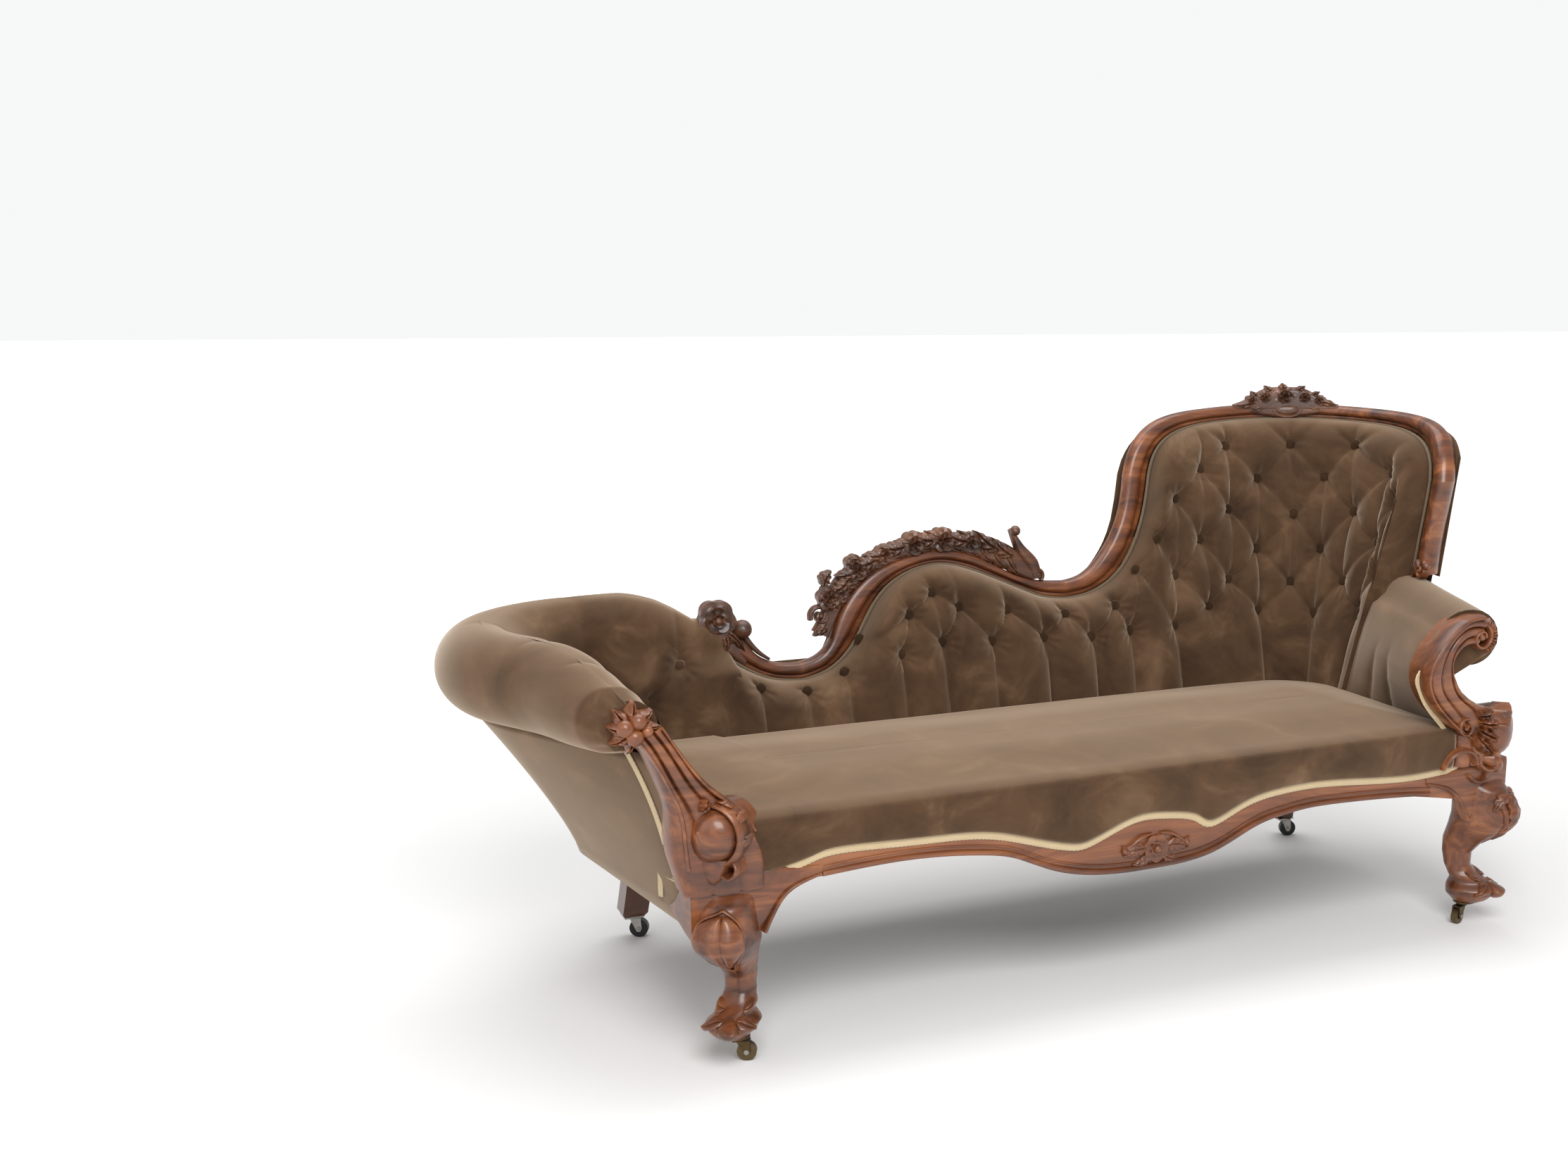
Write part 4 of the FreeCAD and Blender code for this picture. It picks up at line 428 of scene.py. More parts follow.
# Show frame of the back, as (along the back, height) of its outer and inner edges.
leftOuter = [(-430, 590), (-400, 548), (-370, 510), (-325, 492), (-290, 491)]
leftInner = [(-468, 556), (-436, 520), (-395, 490), (-345, 467), (-290, 460)]
humpOuter = [(-290, 491), (-258, 500), (-232, 524), (-212, 570), (-180, 616), (-130, 652), (-60, 673),
             (0, 680), (60, 668), (120, 640), (185, 612), (262, 603)]
humpInner = [(-290, 460), (-241, 473), (-198, 505), (-165, 552), (-130, 602), (-78, 638), (-10, 653),
             (50, 643), (110, 620), (170, 594), (215, 577), (262, 570)]
stileOuter = [(262, 603), (305, 613), (345, 645), (378, 690), (400, 745), (410, 800)]
stileInner = [(262, 570), (315, 577), (368, 602), (405, 640), (432, 690), (450, 745), (461, 800)]
crestOuter = [(410, 800), (424, 842), (456, 884), (510, 912), (600, 925), (750, 932)]
crestInner = [(461, 800), (474, 836), (502, 868), (556, 890), (635, 900), (750, 905)]
crestOuter += [(2 * middle - a, h) for a, h in reversed(crestOuter[:-1])]
crestInner += [(2 * middle - a, h) for a, h in reversed(crestInner[:-1])]
rightOuter = [(1090, 800), (1084, 740), (1081, 690), (1086, 622)]
rightInner = [(1039, 800), (1038, 740), (1035, 690), (1035, 622)]

# (share across, distance behind the back surface) of the moulded section.
mouldingProfile = [(0, 38), (0, 6), (0.05, 3), (0.13, 1.6), (0.24, 1.8), (0.31, 0.2), (0.36, -4),
                   (0.43, -6.6), (0.54, -8), (0.68, -8.2), (0.8, -7), (0.88, -5.6), (0.94, -2), (0.985, 3),
                   (1, 9), (0.93, 20), (0.72, 31), (0.5, 38)]


def moulding(name, outer, inner, steps, node):
    share, out = np.array(mouldingProfile, float).T
    sections = []
    for (along, height), (inside, level) in zip(smoothLine(outer, steps), smoothLine(inner, steps)):
        sections.append(backPoint(inside + (along - inside) * share, level + (height - level) * share, out))
    loftedPiece(name, sections, carvedWood, [node], 40)


moulding("leftRail", leftOuter, leftInner, 40, "back_rail_left")
moulding("humpRail", humpOuter, humpInner, 110, "back_rail_hump")
moulding("leftStile", stileOuter, stileInner, 50, "back_stile_left")
moulding("crestRail", crestOuter, crestInner, 150, "back_crest_rail")
moulding("rightStile", rightOuter, rightInner, 36, "back_stile_right")
innerLine = np.vstack([smoothLine(p, 200) for p in (leftInner, humpInner, stileInner, crestInner)])
outerLine = np.vstack([smoothLine(p, 200) for p in (leftOuter, humpOuter, stileOuter, crestOuter)])
print("show frame")


def heightOn(line, along):
    # Lowest height of an outline at a place along the back.
    along = np.atleast_1d(along)
    low = np.full(len(along), 1e9)
    for (a, h), (b, k) in zip(line[:-1], line[1:]):
        first, last = min(a, b), max(a, b)
        hit = (along >= first - 1e-6) & (along <= last + 1e-6) & (last > first)
        share = (along[hit] - a) / (b - a) if last > first else 0
        low[hit] = np.minimum(low[hit], h + (k - h) * share)
    low[low > 1e8] = np.interp(along[low > 1e8], [line[0][0], line[-1][0]], [line[0][1], line[-1][1]])
    return low


# Deep buttoned back: buttons and pleats where the real one has them.
back = {
    "buttons": [(626, 853), (757, 854), (876, 855), (563, 810), (692, 787), (824, 791), (970, 807),
                (500, 755), (623, 728), (767, 715), (895, 726), (1010, 756), (452, 677), (551, 672),
                (682, 648), (830, 649), (974, 673), (405, 620), (488, 606), (610, 590), (763, 582),
                (897, 589), (1006, 616), (349, 555), (562, 539), (677, 526), (828, 522), (972, 537),
                (376, 505), (481, 507), (-41, 608), (-90, 570), (13, 577), (113, 565), (237, 547),
                (-178, 526), (-112, 500), (-27, 515), (76, 509), (186, 507),
                (-219, 473), (-296, 446), (-385, 460), (-458, 478), (290, 500)],
    "lowStuffing": 78.0, "cornerStuffing": 108.0, "highStuffing": 46.0, "start": -484.5, "end": 1031.0,
    "crown": 6.0, "foldDepth": 17.0, "foldWidth": 40.0, "buttonDepth": 10.0, "buttonWidth": 19.0,
    "rimReach": 42.0, "step": 4.0, "heights": 120, "rim": 9.0, "uneven": 2.5, "startDrop": 34.0,
    "startReach": 60.0,
}
pleat = {
    "middleDepth": 0.4, "middleReach": 34.0, "dimple": 5.0, "dimpleReach": 42.0,
    "gather": 1.5, "rays": 9, "gatherFrom": 20.0, "gatherReach": 11.0,
}


def padTop(along):
    top = np.min([heightOn(innerLine, along + shift) for shift in (-6, -3, 0, 3, 6)], axis=0) - 0.4
    return np.where(along < leftInner[1][0], couch["rollLow"] - 4, np.maximum(top, 455))


def stuffing(along, height):
    low = between(back["lowStuffing"], back["cornerStuffing"], ease((along - middle + 300) / 400))
    rise = (height - couch["railTop"]) / (couch["crestZ"] - couch["railTop"])
    return between(low, back["highStuffing"], rise)


def foldLines():
    # Diagonal pleats between near buttons, upright ones to the seat, and short ones to the rim.
    buttons = np.array(back["buttons"], float)
    folds = []
    for i, (a, h) in enumerate(buttons):
        below = above = False
        for j, (b, k) in enumerate(buttons):
            if i == j:
                continue
            reach = math.hypot(a - b, h - k)
            if reach < 150 and abs(h - k) > 28 and abs(a - b) < 105:
                if j > i:
                    folds.append(((a, h), (b, k)))
                below |= k < h
                above |= k > h
        if not below:
            folds.append(((a, h), (a + 2, couch["railTop"] + 20)))
        top = float(padTop(np.array([a]))[0])
        if top - h < 95 and top - h > 12:
            lean = 0 if abs(a - middle) < 190 else 14
            folds.append(((a, h), (a + math.copysign(lean, a - middle), top - 8)))
            if not above and a > 380:
                for side in (-1, 1):
                    folds.append(((a, h), (a + side * 46, float(padTop(np.array([a + side * 46]))[0]) - 8)))
    return folds, buttons


backFolds, backButtons = foldLines()


def pleated(along, height, folds, buttons, spec):
    # How far the cover is pulled in: pleats are narrow creases between full pillows.
    p = np.stack([along.ravel(), height.ravel()], axis=1)
    near = np.full((2, len(p)), 1e9)
    for (a, h), (b, k) in folds:
        kind = int(abs(a - b) < 10)
        d = np.array([b - a, k - h], float)
        t = np.clip(((p - (a, h)) @ d) / (d @ d), 0, 1)
        gap = np.linalg.norm(p - (np.array([a, h]) + t[:, None] * d), axis=1)
        near[kind] = np.minimum(near[kind], gap)
    apart = np.linalg.norm(p[:, None, :] - buttons[None], axis=2)
    button, nearest = apart.min(axis=1), buttons[apart.argmin(axis=1)]
    # Slanting pleats fade halfway between two buttons; upright ones keep their depth.
    share = 1 - np.minimum(near / spec["foldWidth"], 1)
    drawn = spec["foldDepth"] * (1 - np.sqrt(1 - share ** 2 * 0.985))
    kept = pleat["middleDepth"] + (1 - pleat["middleDepth"]) * np.exp(-(button / pleat["middleReach"]) ** 2)
    pull = np.maximum(drawn[0] * kept, drawn[1])
    pull = pull + pleat["dimple"] * np.exp(-(button / pleat["dimpleReach"]) ** 2)
    pull = pull + spec["buttonDepth"] * np.exp(-(button / spec["buttonWidth"]) ** 2)
    angle = np.arctan2(p[:, 1] - nearest[:, 1], p[:, 0] - nearest[:, 0])
    gather = np.exp(-((button - pleat["gatherFrom"]) / pleat["gatherReach"]) ** 2)
    pull = pull + pleat["gather"] * np.cos(pleat["rays"] * angle + nearest[:, 0]) * gather
    return pull.reshape(along.shape)


def ripple(a, b, scale, seed):
    # A gentle, repeatable unevenness of hand stuffing, a mean of a few long waves.
    r = np.random.default_rng(seed)
    total, waves = 0, 9
    for _ in range(waves):
        ka, kb, phase = r.normal(0, 1 / scale, 2).tolist() + [r.uniform(0, 6.28)]
        total = total + np.sin(a * ka + b * kb + phase)
    return total / waves


def backOut(along, height, top):
    drop = np.clip(top - height, 0, back["rimReach"])
    drawn = np.sqrt(np.maximum(0, 1 - (1 - drop / back["rimReach"]) ** 2))
    full = stuffing(along, height) + back["crown"] - pleated(along, height, backFolds, backButtons, back)
    begun = ease((along - back["start"]) / back["startReach"])
    full = full + back["uneven"] * ripple(along, height, 38, 3) - back["startDrop"] * (1 - begun)
    return back["rim"] + (full - back["rim"]) * drawn


def makeBackPad():
    alongs = np.arange(back["start"], back["end"] + 0.01, back["step"])
    alongs[-1] = back["end"]
    tops = padTop(alongs)
    share = np.linspace(0, 1, back["heights"])
    sections = []
    a = np.repeat(alongs[:, None], len(share), axis=1)
    h = couch["railTop"] + (tops[:, None] - couch["railTop"]) * share[None, :]
    front = backOut(a, h, tops[:, None])
    for i, along in enumerate(alongs):
        face = backPoint(along, h[i], -front[i])
        behind = backPoint(along, np.array([tops[i], (tops[i] + couch["railTop"]) / 2, couch["railTop"]]),
                           7.6)
        sections.append(np.vstack([face, behind]))
    paddedPiece("backPad", sections, "back_pad", 75)


def buttonParts(place, outward, radius=11.0):
    place = np.array(place) + unit(np.array(outward)) * 3.5
    profile = [(0.1, -5), (radius * 0.6, -4), (radius * 0.95, -0.5), (radius, 1.5), (radius * 0.93, 3.6),
               (radius * 0.7, 5.2), (radius * 0.35, 6.1), (0.1, 6.4)]
    return lathe(profile, place, outward, 18)


def makeBackButtons():
    parts = []
    for along, height in back["buttons"]:
        a, h = np.array([[along]], float), np.array([[height]], float)
        out = float(backOut(a, h, padTop(np.array([along]))[None, :])[0, 0])
        nx, ny = backNormal(along)
        parts.append(buttonParts(backPoint(along, height, -out), (-float(nx), -float(ny), 0.1)))
    return parts


makeBackPad()
buttonPieces = makeBackButtons()
print("back stuffed and buttoned")

# Left end: outside panel, inside pleats and a roll that runs round it.
leftEnd = {
    "frontX": -668.0, "farX": -735.0, "flareFront": 60.0, "flareFar": 170.0, "cornerLow": 130.0,
    "cornerHigh": 235.0, "padFace": 96.0, "rollRadius": 63.0, "rollFront": 46.0, "insetFront": -28.0,
    "insetFar": 18.0, "pleats": 11, "steps": 220, "swell": 7.0, "drop": 16.0, "tail": 62.0, "foot": 345.0,
    "tuck": 500.0, "lowButtons": 452.0, "highButtons": 512.0, "pullTop": 548.0, "skin": 2.5, "hem": 9.0,
    "crease": 5.0, "gather": 1.6, "lump": 1.6,
}


def leftCourse(height):
    rise = max(height - couch["leftFoot"], 0) / (couch["rollLow"] - couch["leftFoot"])
    radius = between(leftEnd["cornerLow"], leftEnd["cornerHigh"], rise)
    start = np.array([leftEnd["frontX"] - leftEnd["flareFront"] * rise ** 2.2, couch["frontY"]])
    farX = leftEnd["farX"] - leftEnd["flareFar"] * rise ** 1.2
    rearY = couch["backY"] + couch["backLean"] * (height - couch["backLevel"]) + couch["frameDepth"] + 2
    centre = np.array([farX + radius, rearY - radius])
    reach = centre - start
    heading = math.atan2(reach[1], reach[0]) + math.asin(radius / np.linalg.norm(reach))
    forward = np.array([math.cos(heading), math.sin(heading)])
    return centre, radius, forward, np.array([-forward[1], forward[0]])


def leftPoint(station, height, inward=0.0):
    centre, radius, forward, outward = leftCourse(min(height, couch["rollLow"]))
    if station <= 1:
        end = centre + outward * (radius - inward)
        begin = end - forward * ((end[1] - couch["frontY"]) / forward[1])
        place = between(begin, end, station)
    elif station <= 2:
        first = math.atan2(outward[1], outward[0]) % (2 * math.pi)
        angle = first + (math.pi / 2 - first) * (station - 1)
        place = centre + np.array([math.cos(angle), math.sin(angle)]) * (radius - inward)
    else:
        begin = centre + np.array([0, radius - inward])
        place = np.array([between(begin[0], couch["leftJoinX"], station - 2), begin[1]])
    return np.array([place[0], place[1], height])


def rollSize(station):
    radius = between(leftEnd["rollFront"], leftEnd["rollRadius"], float(ease(station / 0.9)))
    if station < 0.12:
        radius -= 6 * (1 - station / 0.12)
    if station > 2.6:
        radius -= 14 * ((station - 2.6) / 0.4) ** 2
    return radius


def rollInset(station):
    return between(leftEnd["insetFront"], leftEnd["insetFar"], float(ease(station / 0.75)))


def leftFace(station, height):
    thin = np.interp(height, [345, 385, 415, 444, 466, 505, 560], [92, 90, 72, 50, 38, 27, 25])
    return float(between(thin, leftEnd["padFace"], ease(station / 0.4)))


def leftBackSide(station):
    return 3.5 + 20.5 * float(ease(station / 0.22))


marks = np.array([leftPoint(s, 440, 96) for s in np.linspace(0, 3, 400)])
runs = runAlong(marks)
leftTotal = runs[-1]


def stationAt(distance):
    return float(np.interp(distance, runs, np.linspace(0, 3, 400)))


leftPitch = leftTotal / leftEnd["pleats"]
leftButtons = [(leftPitch * (k + 0.5), leftEnd["lowButtons" if k % 2 else "highButtons"])
               for k in range(1, leftEnd["pleats"])]
highPlaces = [place for place, height in leftButtons if height == leftEnd["highButtons"]]


def leftFolds():
    folds = []
    for i, (place, height) in enumerate(leftButtons):
        if i + 1 < len(leftButtons):
            folds.append(((place, height), leftButtons[i + 1]))
        folds.append(((place, height), (place + 8, 700) if place in highPlaces else (place, 360)))
    return folds, np.array(leftButtons)


leftFold, leftMarks = leftFolds()
leftSpec = {"foldDepth": 17.0, "foldWidth": 40.0, "buttonDepth": 9.0, "buttonWidth": 17.0}


def leftPull(distance, height):
    a, h = np.array([[distance]], float), np.array([[height]], float)
    return float(pleated(a, h, leftFold, leftMarks, leftSpec)[0, 0])


def endPlace(distance, height, inward):
    # Past the last station the end runs on a little and rounds off behind the carved rail.
    place = leftPoint(stationAt(min(distance, leftTotal)), height, inward)
    place[0] += max(0.0, distance - leftTotal)
    return place


def rollLump(distance, angle, station):
    # The creases that cross the roll start at its inner side and die out on top.
    inner = max(0.0, math.cos(angle - math.pi * 0.85)) ** 1.2
    near = min(abs(distance - place) for place in highPlaces)
    crease = leftEnd["crease"] * inner * math.exp(-near / 9) * float(ease(station / 0.3))
    return crease - leftEnd["gather"] * math.cos(angle * 11) * max(0.0, 1 - distance / 45)


def makeLeftEnd():
    roll, pad = [], []
    tail, foot, low = leftEnd["tail"], leftEnd["foot"], couch["rollLow"]
    pastEnd = leftTotal + np.linspace(0.05, 1, 16) * tail
    for distance in np.concatenate([np.linspace(0, leftTotal, leftEnd["steps"]), pastEnd]):
        station = stationAt(min(distance, leftTotal))
        past = max(0.0, distance - leftTotal) / tail
        shrink = math.sqrt(max(0.0, 1 - past * past * 0.995))
        soft = float(ease(station / 0.3))
        full = rollSize(station) + leftEnd["swell"] * float(ease(station / 0.5))
        full *= 1 - 0.2 * float(ease((station - 2.2) / 0.8))
        inset = rollInset(station)
        level = low + rollSize(station) - leftEnd["drop"] * float(ease((station - 2.3) / 0.7))
        centre = endPlace(distance, low, inset)
        out = endPlace(distance, low, inset - 1) - centre
        if station < 0.3:
            out = out * soft + np.array([-1, 0, 0]) * (1 - soft)
        out = unit(out)
        centre = np.array([centre[0], centre[1], level])
        ring = []
        nip = 1 - 0.2 * (1 - min(1, distance / 55)) ** 2
        for angle in circle(72):
            lump = leftEnd["lump"] * float(ripple(distance, angle * 40, 60, 5))
            size = full * shrink * nip - rollLump(distance, angle, station) + lump * (station > 0.1) * shrink
            ring.append(centre + out * size * math.cos(angle) + np.array([0, 0, size * math.sin(angle)]))
        roll.append(ring)
        backSide = leftBackSide(station)
        section = [endPlace(distance, z, backSide + 2) for z in np.linspace(foot, leftEnd["tuck"], 5)]
        skin = full + leftEnd["skin"]
        around = [(angle, skin - leftEnd["hem"]) for angle in np.linspace(-60, 80, 12)]
        for angle in np.linspace(86, 4, 26):
            # The cover runs down from the top of the roll, its pleats opening out as they rise.
            size = skin - soft * leftPull(distance, leftEnd["pullTop"]) * (0.75 * (1 - angle / 86) ** 0.8)
            size -= 2.5 * float(ease((angle - 60) / 26))
            size += 1.2 * float(ripple(distance, 520 + angle, 42, 8)) * soft
            around.append((angle, size))
        for angle, size in around:
            rad = math.radians(angle)
            place = endPlace(distance, low, inset + size * math.cos(rad) * shrink)
            section.append(np.array([place[0], place[1], level + size * math.sin(rad) * shrink]))
        for z in np.linspace(level, foot, 54):
            thick = leftFace(station, z) + 5 * soft
            upper = float(ease((z - 490) / (level - 490)))
            thick = thick * (1 - upper) + (inset + skin) * upper
            thick -= soft * leftPull(distance, min(z, leftEnd["pullTop"])) * (1 - 0.25 * upper) * shrink
            thick += 1.5 * float(ripple(distance, z, 42, 8)) * soft
            if upper > 0:
                thick = inset * upper + (thick - inset * upper) * (1 - (1 - shrink) * upper)
            place = endPlace(distance, min(z, low), max(thick, backSide + 4))
            section.append(np.array([place[0], place[1], z]))
        pad.append(section)
    paddedPiece("leftRoll", roll, "left_arm_roll", 70)
    paddedPiece("leftEndPad", pad, "left_end_pad", 70)
    for distance, height in leftButtons:
        station = stationAt(distance)
        upper = float(ease((height - 500) / 100))
        thick = leftFace(station, height) * (1 - upper) + 5 - leftPull(distance, height)
        place = endPlace(distance, min(height, low), thick)
        inward = leftPoint(station, 480, thick + 5) - leftPoint(station, 480, thick)
        place[2] = height
        buttonPieces.append(buttonParts(place, tuple(inward), 10))


makeLeftEnd()


def makeOutsideCovers():
    rows = []
    for station in np.linspace(0, 3, 120):
        levels = np.linspace(couch["leftFoot"], couch["rollLow"] - 1, 16)
        rows.append([leftPoint(station, z, -0.4) for z in levels]
                    + [leftPoint(station, z, 1.3) for z in levels[::-1]])
    sheetPiece("leftOutside", rows, "outside_left_cover")
    rows = []
    for along in np.arange(-485, 1066, 10.0):
        low = 615.0 if along > 1033 else 283.0
        top = heightOn(outerLine, np.array([along]))[0] - 18 if along > -400 else couch["rollLow"] - 2
        top = max(top, 489)
        levels = np.linspace(low, top, 14)
        rows.append(np.vstack([backPoint(along, levels, 41.2), backPoint(along, levels[::-1], 39.2)]))
    sheetPiece("backOutside", rows, "outside_back_cover")


makeOutsideCovers()
print("left end and covers")

# Low right arm: stuffed inner face, roll on top and outside panel.
rightArm = {
    "frontFace": [(700, 575), (682, 558), (661, 521), (656, 486), (671, 450), (703, 415), (741, 379),
                  (749, 345)],
    "rearFace": [(-52, 578), (-76, 562), (-86, 521), (-91, 486), (-95, 450), (-98, 415), (-101, 379),
                 (-104, 345)],
    "rollFront": (760, -310, 550), "rollFrontRadius": 48.0, "rollRearRadius": 46.0, "rearAlong": 1034.0,
    "rollRearHeight": 562.0, "rollRearOut": 4.0, "coverAlong": 1036,
    "coverFront": [(808, 283), (807, 345), (801, 421), (770, 436), (738, 455), (714, 493), (716, 512)],
    "coverRear": [(40, 283), (40, 345), (40, 421), (40, 445), (39, 465), (37, 490), (33, 503)],
    "stations": 70, "foot": 345.0, "rise": 230.0, "depth": 330.0, "swell": 5.0,
    "creases": [(0.80, -0.16), (0.58, -0.12)], "creaseDepth": 8.0,
    "rollTop": [(-52, 20), (-47, 31), (-38, 41), (-26, 48), (-12, 51.5), (3, 52), (18, 49.5), (31, 42.5),
                (41, 32), (47.5, 19), (50, 5), (49, -9), (43, -22), (30, -30)],
}


def armCover(share, which, inside=0, behind=1):
    # A point of the outside panel's line, between its front and its rear end.
    (x, z), (out, height) = rightArm["coverFront"][which], rightArm["coverRear"][which]
    front = np.array([x - inside, couch["frontY"] + behind, z])
    return between(front, backPoint(rightArm["coverAlong"], height, out), share)


def armInner(share, level):
    front = np.array(rightArm["frontFace"], float)[::-1]
    rear = np.array(rightArm["rearFace"], float)[::-1]
    x = np.interp(level, front[:, 1], front[:, 0])
    out = np.interp(level, rear[:, 1], rear[:, 0])
    return between(np.array([x, couch["frontY"], level]), backPoint(rightArm["rearAlong"], level, out), share)


def makeRightArm():
    pad, roll, cover = [], [], []
    base = np.array(rightArm["rollFront"], float)
    rear = backPoint(rightArm["rearAlong"], rightArm["rollRearHeight"], rightArm["rollRearOut"])
    heading = unit(rear - base)
    side = unit(np.array([-heading[1], heading[0], 0]))
    foot, rise, depth = rightArm["foot"], rightArm["rise"], rightArm["depth"]
    for share in np.linspace(0, 1, rightArm["stations"]):
        soft = math.sin(math.pi * min(1, share * 1.04)) ** 0.5 if 0 < share < 1 else 0
        centre = base + (rear - base) * share
        section = []
        for level in np.linspace(foot, 568, 44):
            fold = 0
            for start, slope in rightArm["creases"]:
                gap = abs(share - start - slope * (level - foot) / rise) * depth
                fold += rightArm["creaseDepth"] * math.exp(-gap / 14) * float(ease((530 - level) / 110))
            swell = rightArm["swell"] * soft * math.sin(math.pi * (level - foot) / rise)
            push = swell - fold * soft + 1.2 * float(ripple(share * depth, level, 60, 12)) * soft
            section.append(armInner(share, level) + side * push)
        for across, top in rightArm["rollTop"]:
            wave = 1.0 * float(ripple(share * depth, across, 60, 15)) * soft
            section.append(centre - side * (across * (1 + 0.02 * wave)) + np.array([0, 0, top + wave]))
        section += [armCover(share, which, 6, 2) + side * 4 for which in range(6, 0, -1)]
        pad.append(section)
        radius = between(rightArm["rollFrontRadius"], rightArm["rollRearRadius"], share)
        ring = []
        for angle in circle(48):
            size = radius + 0.8 * float(ripple(share * depth, angle * 45, 60, 6)) * soft
            ring.append(centre + side * size * math.cos(angle) + np.array([0, 0, size * math.sin(angle)]))
        roll.append(ring)
        outer = [armCover(share, which) for which in range(7)]
        cover.append(outer + [place + side * 1.7 for place in outer[::-1]])
    paddedPiece("rightArmPad", pad, "right_arm_pad", 70)
    paddedPiece("rightArmRoll", roll, "right_arm_roll", 70)
    sheetPiece("rightOutside", cover, "outside_right_cover")


makeRightArm()

# Seat: stuffed edge falling over the front rail to the braid, low crown in the middle.
seat = {
    "frontY": -321.0, "rim": 392.0, "crown": 409.0, "ridgeY": -60.0, "ridge": (-470.0, 590.0), "bulge": 4.0,
    "braidLine": [(-560, 301), (-500, 314), (-462, 324), (-330, 322), (-198, 315), (-110, 292), (-40, 274),
                  (-14, 275), (30, 291), (84, 307), (140, 305), (195, 293), (218, 280), (255, 290),
                  (307, 310), (380, 320), (453, 321), (550, 314), (638, 309), (700, 311), (765, 313)],
    "frontX": (-590.0, 738.0), "step": 7.0,
}
braidCurve = smoothLine(seat["braidLine"], 400)


def braidHeight(x):
    return np.interp(x, braidCurve[:, 0], braidCurve[:, 1])


def seatOutline():
    # Once round the seat; each point with the lowest level of the cover there.
    points, lows = [], []
    for x in np.arange(seat["frontX"][0], seat["frontX"][1], seat["step"]):
        points.append((x, seat["frontY"]))
        lows.append(float(braidHeight(x)) + 6.2 if -566 < x < 745 else 340.0)
    for share in np.linspace(0.06, 0.97, 40):
        place = armInner(share, 380)
        points.append((place[0] - 2, place[1]))
        lows.append(345.0)
    for along in np.arange(1028, -484, -9.0):
        out = -float(stuffing(along, 370.0)) - 1.0
        place = backPoint(along, 370, out)
        points.append((place[0], place[1]))
        lows.append(345.0)
    for station in np.linspace(2.98, 0.09, 60):
        place = leftPoint(station, 370, leftFace(station, 370) + 1)
        points.append((place[0], place[1]))
        lows.append(345.0)
    return np.array(points), np.array(lows)


def makeSeat():
    points, lows = seatOutline()
    ridge = np.stack([np.clip(points[:, 0], *seat["ridge"]), np.full(len(points), seat["ridgeY"])], axis=1)
    front = points[:, 1] < seat["frontY"] + 2
    rings = []
    for share in np.linspace(0, 1, 20):
        swell = seat["bulge"] * math.sin(math.pi * share ** 0.8) * front
        ring = points.copy()
        ring[:, 1] -= swell * 0.5 - 3.5 * (1 - share) ** 3 * front
        z = lows + (seat["rim"] - 8 - lows) * share
        rings.append(np.column_stack([ring, z]))
    for gather in np.concatenate([np.linspace(0.012, 0.14, 14), np.linspace(0.17, 0.97, 50)]):
        ring = points + (ridge - points) * gather
        rounding = math.sqrt(max(0, 1 - (1 - min(gather / 0.14, 1)) ** 2))
        z = seat["rim"] - 8 + 11 * rounding + (seat["crown"] - seat["rim"] - 2) * ease(gather / 0.75)
        dent = 1.6 * ripple(ring[:, 0], ring[:, 1], 70, 21) * min(1, gather / 0.1)
        rings.append(np.column_stack([ring, z + dent]))
    paddedPiece("seatPad", rings, "seat_pad")


makeSeat()

buttonMesh = joinParts(buttonPieces + makeBackButtons())
finishPiece(meshObject("buttons", *buttonMesh), velvet, ["back_buttons"])


def makePiping():
    keep = np.concatenate([[True], np.linalg.norm(np.diff(innerLine, axis=0), axis=1) > 0.05])
    line = innerLine[keep]
    direction = unit(np.gradient(line, axis=0))
    line = line - np.column_stack([-direction[:, 1], direction[:, 0]])
    whole = np.vstack([line, smoothLine(rightInner, 60)])
    path = backPoint(whole[:, 0], whole[:, 1], -1.2)
    radius, sides = 2.9, 10
    verts, faces = tube(path, radius, sides)
    run = runAlong(path) / 1000
    around = np.arange(sides) / sides * 2 * math.pi * radius / 1000
    uv = np.column_stack([np.repeat(run, sides), np.tile(around, len(run))])
    uv = np.vstack([uv, (run[0], 0), (run[-1], 0)])
    finishPiece(meshObject("backPiping", verts, faces, uv), cordThread, ["back_piping"])


makePiping()


def braidStrip(name, path, normal, width, thick, node):
    # Braid laid on a face: width across the run, slightly domed, scalloped edges.
    path = np.asarray(path, float)
    normal = np.array(normal, float)
    across = unit(np.cross(unit(np.gradient(path, axis=0)), normal))
    run = runAlong(path)
    half = width / 2 * (1 + 0.07 * np.sin(run * 2 * math.pi / 7))[:, None]
    shares = [(-1, 0.0), (-1, 0.5), (-0.8, 0.95), (-0.4, 0.7), (0, 1.0), (0.4, 0.7), (0.8, 0.95), (1, 0.5),
              (1, 0.0)]
    verts, faces = loft(np.stack([path + across * half * a + normal * thick * h for a, h in shares], axis=1))
    uv = np.column_stack([np.repeat(run / 1000, len(shares)),
                          np.tile([a * width / 2000 for a, _ in shares], len(run))])
    uv = np.vstack([uv, (0, 0), (0, 0)])
    finishPiece(meshObject(name, verts, faces, uv), braidThread, [node])


def makeGimps():
    x = np.linspace(-556, 762, 640)
    path = np.column_stack([x, np.full(len(x), -310.4), braidHeight(x)])
    braidStrip("frontGimp", path, (0, -1, 0), 15.0, 3.0, "front_gimp")


makeGimps()
print("arm, seat, cord and braid")

